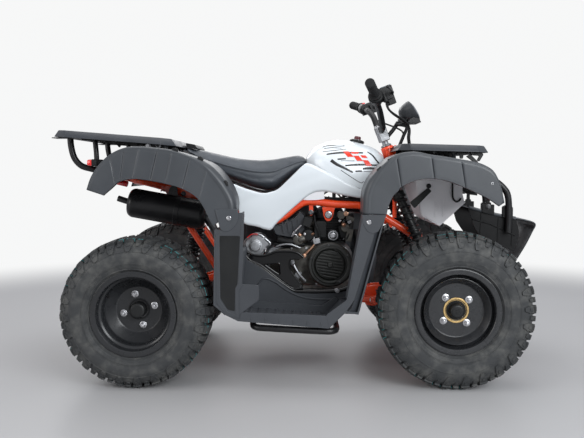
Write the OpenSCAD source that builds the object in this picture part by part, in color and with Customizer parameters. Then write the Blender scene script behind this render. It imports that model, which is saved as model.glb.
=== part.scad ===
// Quad bike with cargo racks: +X to the front, +Y to the rider's left, +Z up.
// The origin is on the ground, under the middle of the machine.

/* [Overall] */
// Distance between the front and rear axles
wheelbase = 1070; // [960:1:1300]
// Width across the tyres
overall_w = 990; // [930:1:1190]
// Width of the body across the mudguards
body_w = 940; // [860:1:980]

/* [Wheels] */
// Outer diameter of a rear tyre
rear_tyre_d = 504; // [420:1:610]
// Width of a rear tyre
rear_tyre_w = 250; // [205:1:300]
// Outer diameter of a front tyre
front_tyre_d = 524; // [430:1:560]
// Width of a front tyre
front_tyre_w = 178; // [146:1:216]
// Diameter of a rim over its flanges
rim_d = 287; // [260:1:345]
// Height of a rim's flange above the bead seat
flange_h = 16; // [13:1:20]
// Wall of a rim
rim_wall = 4; // [3:0.5:6]
// How far the rear wheel's disc lies behind its outer flange
rear_dish = 98; // [80:1:118]
// How far the front wheel's disc lies behind its outer flange
front_dish = 42; // [34:1:51]
// Diameter of the rear axle
axle_d = 35; // [28:1:42]

/* [Steering] */
// Largest turn of the handlebar to each side, in degrees
bar_lock = 30; // [20:1:32]
// Lean of the steering stem from upright, in degrees
rake = 20; // [14:1:24]
// Diameter of the steering stem
stem_d = 25; // [20:1:30]
// Width of the handlebar
bar_w = 800; // [650:1:960]
// Diameter of the handlebar
bar_d = 24; // [20:1:29]
// Distance from the tyre's middle to its kingpin
kingpin_in = 60; // [50:1:72]
// Length of the arm on a knuckle
knuckle_arm = 80; // [66:1:96]

/* [Frame] */
// Diameter of the frame tubes
tube_d = 28; // [23:1:34]
// Distance of the frame rails from the middle plane
rail_y = 150; // [142:1:160]
// Height of the lower rails
floor_z = 250; // [236:1:262]
// Diameter of the suspension arm tubes
arm_d = 24; // [20:1:29]

/* [Body] */
// Thickness of the plastic panels
skin = 4; // [3:0.5:5]
// Distance of the side panels' outer face from the middle plane
panel_y = 175; // [172:1:186]
// Width of the seat
seat_w = 300; // [250:1:330]
// Height of the foot floor above the ground
foot_z = 225; // [214:1:240]

/* [Racks] */
// Width of the rear rack
rear_rack_w = 740; // [620:1:880]
// Width of the front rack
front_rack_w = 590; // [492:1:708]
// Depth of a rack plate's turned-down edge
rack_edge = 24; // [20:1:29]
// Bore of the tow hitch
hitch_bore = 16.5; // [13:0.5:20]

/* [Hidden] */
$fn = 48;

gap = 0.3;                  // seat between two pieces that touch
drawn_wheelbase = 1070;     // wheelbase at which the outlines below are written
bay_from = -60;             // the bay between these two takes up a change of wheelbase
bay_to = 200;
rear_x = -508;
front_x = rear_x + wheelbase;
rear_r = rear_tyre_d / 2;
front_r = front_tyre_d / 2;
rear_y = overall_w / 2 - rear_tyre_w / 2;
front_y = overall_w / 2 - front_tyre_w / 2;
body_y = body_w / 2;
tube_r = tube_d / 2;
tube_corners = 10;
tube_face = tube_r * cos(180 / tube_corners);    // from a rail's middle line to the face on its side
cross_r = 0.8 * tube_r;
bead_r = rim_d / 2 - flange_h;
kingpin_y = front_y - kingpin_in;
head = [388, 0, 791];       // middle of the steering head
stem_axis = [-sin(rake), 0, cos(rake)];
arm_up = 68;                // height of the upper ball joint above the axle
arm_down = 68;              // depth of the lower ball joint below the axle
ball_r = 15;
rod_z = front_r + 30;       // height of the knuckle arm's top face
drawn_rake = 20;            // lean at which the pieces round the bar are written
wheel_share = 0.9;          // turn of a wheel for each degree of the handlebar
pitman = knuckle_arm * wheel_share;
paint = [0.93, 0.22, 0.08];
plastic = [0.22, 0.24, 0.27];
black = [0.06, 0.06, 0.07];
silver = [0.72, 0.73, 0.75];
white = [0.94, 0.95, 0.96];
rubber = [0.10, 0.10, 0.10];

// ---------- shapes ----------

rear_tip = -820;            // ends of the machine, in the drawn places
front_tip = 922;

// A station along the body: what lies ahead of the bay follows the front axle.
function sx(x) = x + (wheelbase - drawn_wheelbase)
    * min(1, max(0, (x - bay_from) / (bay_to - bay_from)));
function sp(p) = [sx(p[0]), p[1]];
// Sets a piece over the origin, which lies under the middle of the machine.
module placed() {
    translate([-(rear_tip + sx(front_tip)) / 2, 0, 0]) children();
}
function unit(v) = v / norm(v);
function mix(a, b, t) = a + (b - a) * t;

// One stretch of a smooth curve between b and c, with its neighbours a and d.
function stretch(a, b, c, d, t) = 0.5 * (2 * b + (c - a) * t + (2 * a - 5 * b + 4 * c - d) * t * t
    + (3 * b - a - 3 * c + d) * t * t * t);
function curve(p, n) = [for (i = [0 : len(p) - 2], k = [0 : n - 1])
    stretch(p[max(i - 1, 0)], p[i], p[i + 1], p[min(i + 2, len(p) - 1)], k / n), p[len(p) - 1]];

// A closed solid over rings of points that turn left as seen from its far end.
module loft(rings) {
    m = len(rings);
    n = len(rings[0]);
    start = [for (k = [0 : n - 1]) k];
    end = [for (k = [n - 1 : -1 : 0]) (m - 1) * n + k];
    sides = [for (i = [0 : m - 2], k = [0 : n - 1])
        [i * n + k, (i + 1) * n + k, (i + 1) * n + (k + 1) % n, i * n + (k + 1) % n]];
    polyhedron(points = [for (ring = rings, p = ring) p], faces = concat([start], sides, [end]));
}

// A round tube swept along points; its rings turn about the side direction.
module bent_tube(p, r, side = [0, 1, 0], corners = tube_corners) {
    last = len(p) - 1;
    loft([for (i = [0 : last])
        let (t = unit(p[min(i + 1, last)] - p[max(i - 1, 0)]),
            u = unit(cross(t, side)), v = cross(t, u))
        [for (k = [0 : corners - 1]) p[i] + r * (cos(360 * k / corners) * u + sin(360 * k / corners) * v)]]);
}

// A straight bar from a to b.
module bar(a, b, r) {
    d = b - a;
    translate(a) rotate([0, acos(d[2] / norm(d)), atan2(d[1], d[0])]) cylinder(h = norm(d), r = r);
}

// A plate with an outline in X and Z, between two distances to the left.
module side_plate(outline, y0, y1) {
    translate([0, y1, 0]) rotate([90, 0, 0]) linear_extrude(y1 - y0) polygon(outline);
}

// The same, where the outline follows a change of wheelbase.
module body_plate(outline, y0, y1) {
    side_plate([for (p = outline) sp(p)], y0, y1);
}

module both_sides() {
    children();
    mirror([0, 1, 0]) children();
}

// Turns what is drawn about Z so that it points out of the machine along Y.
module on_axle(x, y, z) {
    translate([x, y, z]) rotate([-90, 0, 0]) children();
}

// ---------- frame ----------

rail_stations = [[-650, 128, 716], [-585, 128, 697], [-470, 132, 668], [-366, 138, 634], [-230, 1, 590],
    [-90, 1, 546],
    [-50, 1, 542], [-10, 1, 562], [25, 1, 590], [60, 1, 610], [100, 1, 611], [180, 1, 602],
    [270, 1, 597], [310, 1, 582], [362, 1, 551], [471, 1, 484], [560, 120, 425], [600, 108, 398],
    [640, 100, 376]];
function rail_point(p) = [sx(p[0]), p[1] == 1 ? rail_y : p[1] + rail_y - 150, p[2]];
rail = [for (p = rail_stations) rail_point(p)];

module top_rails() {
    color(paint) both_sides() bent_tube(rail, tube_r);
}

// The lower rails draw in towards the front.
function lower_y(x) = x > 400 ? rail_y - (x - 400) / 4 : rail_y;

lower_line = [[-232, 545], [-240, 420], [-238, 330], [-225, 276], [-190, 252], [-120, 250], [120, 250],
    [300, 250], [380, 254], [470, 262], [560, 270], [602, 296], [624, 338]];

module lower_rails() {
    color(paint) both_sides() bent_tube(curve([for (p = lower_line)
        [sx(p[0]), lower_y(p[0]), p[1] + floor_z - 250]], 2), tube_r);
}

module rear_stays() {
    top = rail_point([-466, 132, 667]);
    foot = [-239, rail_y, 320 + floor_z - 250];
    clear = 1.5 * tube_r + 23;  // a stay ends where it reaches the rails it runs into
    d = unit(foot - top);
    color(paint) both_sides() bar(top + clear * d, foot - clear * d, cross_r);
}

module cross_tube(x, z, half) {
    translate([sx(x), half, z]) rotate([90, 0, 0]) cylinder(h = 2 * half, r = cross_r);
}

module cross_tubes() {
    half = rail_y - tube_face - gap;
    color(paint) {
        for (x = [-160, 60, 300]) cross_tube(x, floor_z, half);
        cross_tube(-239, 330 + floor_z - 250, half);
        cross_tube(-340, 625.5, half - 11.8);
        cross_tube(-600, 701, half - 22.4);
        cross_tube(362, 551, half);
        cross_tube(620, 387, half - 47.5);
    }
}

// Frame of the stem: its own Z runs up the steering axis through the head.
module on_stem() {
    translate([sx(head[0]), 0, head[2]]) rotate([0, -rake, 0]) children();
}

// Draws a piece written for the drawn rake, turned with the stem about the head.
module at_head() {
    on_stem() rotate([0, drawn_rake, 0]) translate(-head) children();
}

module steering_head() {
    post_foot = [sx(338), rail_y, 565];
    post_top = [sx(387), 24, 756];
    up = unit(post_top - post_foot);
    color(paint) difference() {
        union() {
            on_stem() translate([0, 0, -42]) cylinder(h = 72, r = 24);
            on_stem() translate([-20, -36, -42]) cube([30, 72, 22]);
            on_stem() translate([0, 0, -425]) cylinder(h = 34, r = 22);
            both_sides() {
                bar(post_foot + (tube_r + 3.7) * up, post_top, cross_r);
                on_stem() bar([0, 14, -408], [14, rail_y - 45, -386], 8);
            }
        }
        on_stem() translate([0, 0, -450]) cylinder(h = 500, r = stem_d / 2 + 0.06);
    }
}

module shock_towers() {
    foot = [sx(392), rail_y, 533];
    d = unit(shock_top - [0, 26, 12] - foot);
    color(paint) {
        both_sides() bar(foot + (1.15 * tube_r + gap + 4) * d, shock_top - [0, 21, -2], 8);
        translate([shock_top[0], shock_top[1] - 29, 640]) rotate([90, 0, 0])
            cylinder(h = 2 * shock_top[1] - 58, r = 9);
    }
}

// ---------- suspension ----------

upper_ball = [front_x, kingpin_y, front_r + arm_up];
lower_ball = [front_x, kingpin_y, front_r - arm_down];
apex_in = 82;               // the two legs of an arm meet this far inside its ball joint

module control_arm(ball, rise, rear_foot, front_foot) {
    apex = ball - [0, apex_in, -rise * apex_in];
    bar(rear_foot, apex, arm_d / 2);
    bar(front_foot, apex, arm_d / 2);
    bar(apex, ball, arm_d / 2);
    translate(apex) sphere(r = arm_d / 2 + 1);
    translate(ball - [0, 0, 13]) cylinder(h = 26, r = ball_r);
}

seat_off = tube_r + arm_d / 2 + gap + 1.5;
lower_front = [sx(588), lower_y(588) + seat_off, floor_z + 36];

module control_arms() {
    color(paint) both_sides() {
        control_arm(upper_ball, 0.16, [sx(566), rail_y - 32 + seat_off, 422],
            [sx(630), rail_y - 47 + seat_off, 382]);
        control_arm(lower_ball, 0, [sx(318), rail_y + seat_off, floor_z], lower_front);
    }
}

shock_top = [sx(392), rail_y + 28, 660];
shock_foot = mix(lower_front, lower_ball - [0, apex_in, 0], 0.73) + [-1, 0, 37];   // on the arm's front leg

module shock(a, b, r) {
    d = unit(b - a);
    bar(a + 14 * d, b - 14 * d, r * 0.42);
    bar(a + 40 * d, b - 110 * d, r);
    for (e = [a, b]) translate(e) rotate([90, 0, 0]) translate([0, 0, -11]) cylinder(h = 22, r = 15);
}

module front_shocks() {
    color(paint) both_sides() shock(shock_top, shock_foot, 26);
}

module swingarm() {
    pivot = [-239, 0, 330 + floor_z - 250];
    strut = 12;
    cross_at = mix([rear_x, 0, rear_r], pivot, 0.4);
    color(paint) difference() {
        union() {
            on_axle(rear_x, -75, rear_r) cylinder(h = 150, r = carrier_r);
            both_sides() bar([rear_x, 60, rear_r], pivot + [0, 60, 0], tube_r);
            both_sides() on_axle(pivot[0], 45, pivot[2]) cylinder(h = 34, r = 21);
            on_axle(cross_at[0], -60, cross_at[2]) cylinder(h = 120, r = strut);
        }
        on_axle(rear_x, -80, rear_r) cylinder(h = 160, r = axle_d / 2 + 0.06);
        on_axle(pivot[0], -90, pivot[2]) cylinder(h = 180, r = cross_r + gap);
    }
}

module rear_shock() {
    foot = mix([rear_x, 0, rear_r], [-239, 0, 330 + floor_z - 250], 0.4) + [0, 0, 12 + 15 + gap];
    color(paint) shock([-340, 0, 625.5 - cross_r - 15 - gap], foot, 32);
}

// ---------- engine ----------

crank = [153, 380];         // station and height of the crankshaft
deck_z = 458;               // top of the crankcase, where the cylinder stands
carrier_r = axle_d / 2 + 22;

module engine_block() {
    foot_z0 = floor_z + cross_r + gap;
    color(silver) {
        body_plate([[-110, 340], [-70, 296], [170, 285], [236, 330], [242, 420], [214, deck_z],
            [20, deck_z], [-80, 446]], -118, 118);
        body_plate([[46, foot_z0], [74, foot_z0], [74, 296], [46, 296]], -60, 60);
    }
}

module engine_cylinder() {
    foot = deck_z + gap;
    color(black) body_plate([[100, foot], [214, foot], [214, 568], [196, 582], [116, 586],
        [100, 560]], -72, 72);
}

module engine_mounts() {
    top = 603 - tube_r;         // under the top rails
    color(paint) both_sides() {
        body_plate([[126, top], [134, 552], [148, 544], [162, 552], [170, top]],
            rail_y - 3, rail_y + 3);
        translate([sx(148), 72 + gap, 564]) rotate([-90, 0, 0]) cylinder(h = rail_y - 75 - gap, r = 9);
    }
}

module carburettor() {
    color(silver) {
        bar([sx(62) + gap, -20, 520], [sx(100) - gap, -20, 520], 22);
        translate([sx(80), -20, 474]) cylinder(h = 44, r = 17);
    }
}

module fan_cover() {
    color(black) translate([sx(crank[0]), -118 - gap, crank[1]]) rotate([90, 0, 0]) {
        cylinder(h = 50, r = 84);
        translate([0, 0, 50]) cylinder(h = 18, r1 = 84, r2 = 78);
        translate([0, 0, 68]) cylinder(h = 6, r = 20);
    }
}

gear_outline = [[-166, 462], [-132, 494], [-102, 492], [-62, 456], [-80, 446 + gap], [-110, 400], [-150, 420]];

module gear_case() {
    color(silver) {
        side_plate(gear_outline, -186, -60);
        side_plate(gear_outline, 60, 120);
    }
}

guard_y = 200;              // inner face of the engine guard

module engine_guard() {
    outline = [[-162, 470], [-154, 440], [-94, 398], [10, 332], [56, 306], [92, 318], [92, 345], [60, 330],
        [-18, 382], [-8, 414], [44, 438], [-10, 440], [-92, 424]];
    color(black) {
        body_plate(outline, -guard_y - 10, -guard_y);
        body_plate([[-150, 452], [-122, 440], [-130, 456]], -guard_y, -186 - gap);
    }
}

module air_box() {
    color(plastic) body_plate([[-66, 520], [-50, 486], [38, 470], [62, 480], [62, 560], [44, 574],
        [20, 545], [-40, 520]], -128, 60);
}

pipe_route = [[232, -40, 519], [254, -58, 496], [262, -88, 450], [264, -120, 390], [256, -158, 326],
    [226, -184, 290], [170, -190, 280], [60, -190, 280], [-60, -190, 280], [-150, -190, 284], [-196, -190, 320],
    [-230, -190, 400], [-266, -196, 500], [-290, -204, 548], [-309, -204, 563.7],
    [-337.4, -204, 568.9]];

module exhaust_pipe() {
    port = [sx(214) + 3 * gap, -40, 520];
    color(silver) bent_tube(concat([port], curve([for (p = pipe_route) [sx(p[0]), p[1], p[2]]], 2)), 15);
}

muffler_front = [-338, -204, 569];
muffler_rear = [-580, -204, 613];

module muffler() {
    d = unit(muffler_rear - muffler_front);
    color(black) {
        bar(muffler_front + gap * d, muffler_rear, 53);
        bar(muffler_rear, muffler_rear + 42 * d + [0, 0, 6], 11);
    }
}

// ---------- body ----------

// Seat stations: x, top, bottom, share of the full width
seat_stations = [[-378, 812, 792, 0.86], [-336, 797, 742, 0.94], [-262, 780, 704, 1.0], [-190, 765, 676, 1.0],
    [-120, 760, 652, 0.96], [-60, 763, 646, 0.88], [-20, 769, 674, 0.80], [30, 777, 716, 0.70],
    [72, 768, 746, 0.58]];

function seat_ring(x, top, bottom, w) = let (h = top - bottom)
    [[x, -0.86 * w, bottom], [x, 0.86 * w, bottom], [x, w, bottom + 0.3 * h], [x, w, bottom + 0.7 * h],
    [x, 0.82 * w, top - 0.05 * h], [x, 0, top], [x, -0.82 * w, top - 0.05 * h], [x, -w, bottom + 0.7 * h],
    [x, -w, bottom + 0.3 * h]];

module seat() {
    color(black) loft([for (s = curve(seat_stations, 3)) seat_ring(sx(s[0]), s[1], s[2], s[3] * seat_w / 2)]);
}

// Cover over the tank: x, top, bottom, half width at the bottom
cover_stations = [[72.5, 790, 742, 0.66], [97, 812, 722, 0.84], [142, 835, 698, 0.97], [188, 845, 676, 1.0],
    [244, 839, 652, 0.98], [302, 824, 652, 0.94], [332, 810, 676, 0.84],
    [356, 790, 720, 0.62]];

function cover_ring(x, top, bottom, w) = let (h = top - bottom)
    [[x, -w, bottom], [x, w, bottom], [x, w, bottom + 0.42 * h], [x, 0.93 * w, bottom + 0.66 * h],
    [x, 0.72 * w, bottom + 0.9 * h], [x, 0.34 * w, top - 0.015 * h], [x, -0.34 * w, top - 0.015 * h],
    [x, -0.72 * w, bottom + 0.9 * h], [x, -0.93 * w, bottom + 0.66 * h], [x, -w, bottom + 0.42 * h]];

module tank_cover() {
    color(white) loft([for (s = curve(cover_stations, 3))
        cover_ring(sx(s[0]), s[1], s[2], s[3] * (panel_y - skin - gap))]);
}

panel_outline = [[-239, 693], [-144, 655], [-95, 643], [-62, 648], [-34, 661], [24, 716], [72, 752], [180, 700],
    [289, 646], [276, 626], [204, 636], [134, 650], [96, 648], [67, 632], [24, 597], [-27, 551], [-70, 509],
    [-164, 534], [-180, 560], [-186, 610], [-215, 660]];

module side_panels() {
    boss = rail_point([-100, 1, 549.6]);
    color(white) both_sides() {
        body_plate(panel_outline, panel_y - skin, panel_y);
        on_axle(boss[0], rail_y + tube_face + gap, boss[2])
            cylinder(h = panel_y - skin - rail_y - tube_face, r = 8);
    }
}

module fuel_cap() {
    color(black) translate([sx(262), 0, 833.6]) rotate([0, 10, 0]) {
        cylinder(h = 14, r = 27);
        translate([0, 0, 14]) cylinder(h = 12, r = 13);
    }
}

// A mudguard over a wheel: sections from its top edge to its lower edge, with its inner reach.
module mudguard(sections, y_out, edge_r) {
    loft([for (s = sections)
        let (h = norm(s[1] - s[0]), r = min(edge_r, 0.4 * h), y_in = s[2],
            at = function(y, depth) let (q = mix(s[0], s[1], depth / h)) [sx(q[0]), y, q[1]])
        [at(y_in, skin), at(y_out - r, skin), at(y_out - 0.3 * r - skin, 0.3 * r + skin),
            at(y_out - skin, r + skin), at(y_out - skin, h), at(y_out, h), at(y_out, r),
            at(y_out - 0.3 * r, 0.3 * r), at(y_out - r, 0), at(y_in, 0)]]);
}

rear_guard = [[[-658, 663], [-602, 645], 165], [[-640, 708], [-584, 657], 165], [[-616, 745], [-560, 677], 165],
    [[-586, 775], [-538, 691], 165], [[-548, 797], [-516, 698], 165], [[-500, 803], [-490, 699], 165],
    [[-440, 799], [-440, 692], 165], [[-383, 792], [-389, 682], 165], [[-329, 776], [-345, 668], 170],
    [[-278, 757], [-305, 648], 185], [[-234, 726], [-276, 618], 200], [[-196, 680], [-256, 574], 240],
    [[-170, 630], [-245, 552], 300], [[-166, 590], [-240, 546], 340]];

module rear_mudguards() {
    color(plastic) both_sides() mudguard(rear_guard, body_y, 30);
    color(plastic) side_plate([[-654, 744], [-560, 774], [-500, 789], [-420, 792], [-378.4, 806], [-378.4, 798],
        [-420, 787], [-500, 785], [-560, 770], [-654, 740]], -165 + gap, 165 - gap);
}

front_guard = [[[250, 580], [326, 580], 330], [[253, 643], [334, 614], 320], [[272, 695], [352, 649], 300],
    [[314, 741], [377, 674], 260], [[360, 775], [413, 695], 215], [[420, 784], [450, 702], 90],
    [[476, 773], [487, 699], -1], [[568, 760], [556, 680], -1], [[637, 745], [624, 650], -1],
    [[676, 718], [668, 628], -1], [[704, 650], [690, 614], 200]];

module front_mudguards() {
    color(plastic) both_sides() mudguard(front_guard, body_y, 30);
}

fascia_outline = [[452, 773], [476, 768.4], [568, 755.4], [636, 740], [638, 640], [646, 612], [552, 524],
    [486, 562]];

module front_fascia() {
    color(white) {
        both_sides() body_plate(fascia_outline, 164, 168);
        body_plate([[646, 612], [552, 524], [556, 522], [650, 610]], -164 + gap, 164 - gap);
    }
}

// ---------- footwells ----------

strut_w = 70;               // reach of a strut's outer wall inwards
well_y = 230;               // inner wall of a footwell
strut_top = 580 - gap;      // the front mudguard stands on the front strut

module footwell() {
    t = skin;
    f = foot_z;
    color(plastic) {
        // floor and its turned-up outer edge
        body_plate([[-205, f + 26], [-162, f + 4], [138, f - 20], [188, f + 34],
            [186, f + 41], [136, f - 14], [-160, f + 10], [-202, f + 32]], well_y, body_y);
        body_plate([[-162, f + 4], [138, f - 20], [150, f + 22], [-150, f + 34]],
            body_y - t, body_y);
        // inner wall beside the engine
        body_plate([[-218, 532], [-203, f + 27], [-162, f + 4], [138, f - 20], [186, f + 32],
            [236, f + 30], [262, 330], [60, 298], [10, 322], [-94, 388], [-160, 440], [-190, 532]],
            well_y, well_y + t);
        // rear wall and strut
        body_plate([[-238, 532], [-243, 283], [-205, f + 26], [-201, f + 30], [-238, 284],
            [-233, 532]], well_y, body_y);
        body_plate([[-236, 533], [-242, 283], [-204, f + 26], [-162, f + 4], [-152, f + 30],
            [-92, f + 75], [-92, 349], [-156, 353], [-144, 588], [-162, 588], [-164, 578], [-174, 553],
            [-196, 528]], body_y - t, body_y);
        body_plate([[-156, 353], [-144, 588], [-148, 588], [-160, 353]],
            body_y - strut_w, body_y);
        // front wall and strut
        body_plate([[186, f + 34], [236, f + 27], [323, strut_top], [318, strut_top], [232, f + 34],
            [186, f + 40]], well_y, body_y);
        body_plate([[138, f - 20], [186, f + 34], [236, f + 27], [323, strut_top], [248, strut_top],
            [196, 300], [130, f + 26]], body_y - t, body_y);
        body_plate([[248, strut_top], [196, 300], [200, 300], [252, strut_top]],
            body_y - strut_w, body_y);
    }
}

module footwell_left() {
    footwell();
}

module footwell_right() {
    mirror([0, 1, 0]) footwell();
}

// ---------- racks and lights ----------

// A plate with a turned-down, sloping edge all round, carried on three bars.
module rack(x0, x1, w, z0, z1) {
    inset = rack_edge * 0.7;
    cut = 40;
    outline = function(o) [[x0 + o, -w / 2 + cut], [x0 + cut, -w / 2 + o], [x1 - cut, -w / 2 + o],
        [x1 - o, -w / 2 + cut], [x1 - o, w / 2 - cut], [x1 - cut, w / 2 - o], [x0 + cut, w / 2 - o],
        [x0 + o, w / 2 - cut]];
    lift = function(p, drop) [p[0], p[1], mix(z0, z1, (p[0] - x0) / (x1 - x0)) - drop];
    loft([[for (p = outline(0)) lift(p, rack_edge)], [for (p = outline(inset)) lift(p, 0)]]);
}

rear_rack_x = [-808, -386];
rear_rack_z = [867, 834];
front_rack_x = [388, 708];
front_rack_z = [822, 813];
rack_skin = 6;              // thickness of a rack's top
rack_lip = 7;               // thickness of its edge

module rack_foot(x, y, low, high) {
    translate([x, y, low]) cylinder(h = high - low, r = 12);
}

module rear_rack() {
    color(plastic) both_sides() {
        rack_foot(-500, 300, 803 + gap, 838);
        rack_foot(-430, 300, 799 + gap, 833);
    }
    color(plastic) difference() {
        rack(rear_rack_x[0], rear_rack_x[1], rear_rack_w, rear_rack_z[0], rear_rack_z[1]);
        translate([0, 0, -rack_skin]) rack(rear_rack_x[0] + rack_lip, rear_rack_x[1] - rack_lip,
            rear_rack_w - 2 * rack_lip, rear_rack_z[0], rear_rack_z[1]);
    }
}

module front_rack() {
    x0 = sx(front_rack_x[0]);
    x1 = sx(front_rack_x[1]);
    color(plastic) both_sides() {
        rack_foot(sx(480), 120, 774.9, 815);
        rack_foot(sx(610), 120, 753.9, 811);
    }
    color(plastic) difference() {
        rack(x0, x1, front_rack_w, front_rack_z[0], front_rack_z[1]);
        translate([0, 0, -rack_skin]) rack(x0 + rack_lip, x1 - rack_lip, front_rack_w - 2 * rack_lip,
            front_rack_z[0], front_rack_z[1]);
        // room for the steering head
        translate([x0 - 10, -46, 700]) cube([52, 92, 200]);
    }
}

module rack_tubes() {
    hoop = [[-775, 250, 857], [-773, 250, 815], [-762, 250, 772], [-738, 250, 744], [-705, 249, 733],
        [-680, 238, 727], [-664, 205, 722], [-661.4, 150, 719], [-661.4, 60, 717],
        [-661.4, 0, 717]];
    half = curve(hoop, 2);
    other = [for (i = [len(half) - 2 : -1 : 0]) [half[i][0], -half[i][1], half[i][2]]];
    color(black) {
        bent_tube(concat(half, other), 11, [1, 0, 1]);
        both_sides() bar([-683, 250, 850], [-683, 250, 740], 9);
        both_sides() translate([-820, 258, 838]) cube([60, 60, 3]);
    }
}

module tail_lights() {
    color("crimson") both_sides() translate([-690, 259 + gap, 741]) cube([40, 90, 24]);
}

// ---------- bumper, bars, hitch ----------

bumper_y = 158;             // outer faces of the bumper's side plates

module front_bumper() {
    color(black) both_sides() body_plate([[664, 590], [760, 566], [838, 550], [921, 530], [886, 453],
        [856, 401], [836, 425], [720, 470], [680, 520]], bumper_y - 8, bumper_y);
    color(black) body_plate([[838, 552], [922, 532], [886, 453], [856, 401], [850, 403], [878, 456],
        [912, 528], [838, 546]], gap + 8 - bumper_y, bumper_y - 8 - gap);
}

module bumper_tubes() {
    y = bumper_y + 12 + gap;
    color(black) both_sides() bent_tube(curve([for (p = [[690, 702], [752, 690], [785, 664], [803, 632],
        [808, 560], [806, 500]]) [sx(p[0]), y, p[1]]], 3), 12);
}

module step_bars() {
    foot = rail_y + tube_r + gap;
    color(black) both_sides() bent_tube(curve([for (p = [[-114, foot, 236], [-114, foot + 14, 234],
        [-114, 228, 214], [-115, 300, 212], [-116, 400, 205], [-102, 434, 202], [-60, 442, 200],
        [110, 442, 191],
        [152, 434, 190], [166, 400, 191], [166, 300, 194], [166, 228, 200], [166, foot + 14, 232],
        [166, foot, 236]]) [sx(p[0]), p[1], p[2]]], 2), 11, [0, 0, 1]);
}

module tow_hitch() {
    front = rear_x - carrier_r - gap;
    z = rear_r - 4;
    color(black) difference() {
        union() {
            translate([front - 62, -26, z]) cube([62, 52, 8]);
            translate([front - 62, 0, z]) cylinder(h = 8, r = 26);
        }
        translate([front - 62, 0, z - 10]) cylinder(h = 30, r = hitch_bore / 2);
    }
}

// ---------- steering ----------

stem_top = 86;              // clamp seat, up the stem from the head
stem_foot = -440;           // lower end of the stem
pin_y = 18;                 // the tie rods' pins lie this far from the middle plane
eye_r = 13;
stud_r = 4;
stud_play = 3.8;            // room round a stud, which its rod's eye drifts across at full lock

module steering_stem() {
    color(silver) on_stem() {
        translate([0, 0, stem_foot]) cylinder(h = stem_top - stem_foot, r = stem_d / 2);
        translate([-17, -48, stem_top - 34]) cube([34, 96, 34]);
        translate([-pitman, -pin_y, stem_foot]) cube([pitman + 14, 2 * pin_y, 8]);
        both_sides() translate([-pitman, pin_y, stem_foot]) {
            cylinder(h = 8, r = 13);
            translate([0, 0, -18]) cylinder(h = 18, r = 5);
        }
    }
}

// Half of the handlebar, from the clamp out to the grip, and the grip's outer end
bar_seat = stem_top + bar_d / 2 + gap;
reach = bar_w / 2;
bar_bends = [[0, 0, 0], [0, 55, 0], [2, 88, 14], [5, 122, 62], [0, 165, 92], [-9, reach - 130, 118]];
bar_end = [-30, reach, 152];
grip_from = bar_bends[5];
grip_dir = unit(bar_end - grip_from);
function flip(p) = [p[0], -p[1], p[2]];

module handlebar() {
    half = concat([[0, 0, 0]], curve([for (i = [1 : 4]) bar_bends[i]], 4), [grip_from, bar_end]);
    other = [for (i = [len(half) - 1 : -1 : 1]) flip(half[i])];
    color(black) on_stem() translate([0, 0, bar_seat]) bent_tube(concat(other, half), bar_d / 2, [1, 0, 0]);
}

// A sleeve round a straight stretch of the bar from a towards b, between two distances from a.
module bar_sleeve(a, b, from, to, r) {
    d = unit(b - a);
    difference() {
        bar(a + from * d, a + to * d, r);
        bar(a + (from - 9) * d, a + (to + 9) * d, bar_d / 2 + gap);
    }
}

module grips() {
    color(rubber) on_stem() translate([0, 0, bar_seat]) both_sides()
        bar_sleeve(grip_from, bar_end, 8, norm(bar_end - grip_from) - 1, bar_d / 2 + 5);
}

module bar_controls() {
    a = bar_bends[4];
    d = unit(grip_from - a);
    color(black) on_stem() translate([0, 0, bar_seat]) both_sides() difference() {
        union() {
            bar(a + 30 * d, a + 96 * d, bar_d / 2 + 9);
            translate(a + 34 * d + [10, 0, -8]) cube([38, 50, 26]);
        }
        bar(a + 20 * d, a + 110 * d, bar_d / 2 + gap);
    }
}

module brake_levers() {
    root = bar_bends[4] + 34 * unit(grip_from - bar_bends[4]) + [49 + gap + 6, 32, 4];
    color(black) on_stem() translate([0, 0, bar_seat]) both_sides() {
        bar(root, root + [-14, 120, 26], 5);
        translate(root) sphere(r = 6);
    }
}

headlight_side = [[433, 964], [452, 997], [480, 964], [503, 908], [445, 906], [422, 926]];

module headlight() {
    color(plastic) {
        at_head() side_plate(headlight_side, -72, 72);
        on_stem() side_plate([[17 + gap, 56], [85, 117], [78, 128], [17 + gap, 84]], -14, 14);
    }
}

// ---------- knuckles and rods ----------

module knuckle() {
    color(silver) translate([front_x, kingpin_y, front_r]) {
        post = arm_up - 13 - gap;
        translate([0, 0, -post]) cylinder(h = 2 * post, r = 16);
        rotate([-90, 0, 0]) cylinder(h = 60, r = 15);
        translate([-knuckle_arm, -9, 18]) cube([knuckle_arm, 18, 12]);
        translate([-knuckle_arm, 0, 18]) cylinder(h = 12, r = 13);
        translate([-knuckle_arm, 0, 30]) cylinder(h = 22, r = stud_r);
    }
}

module knuckle_left() {
    knuckle();
}

module knuckle_right() {
    mirror([0, 1, 0]) knuckle();
}

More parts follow.
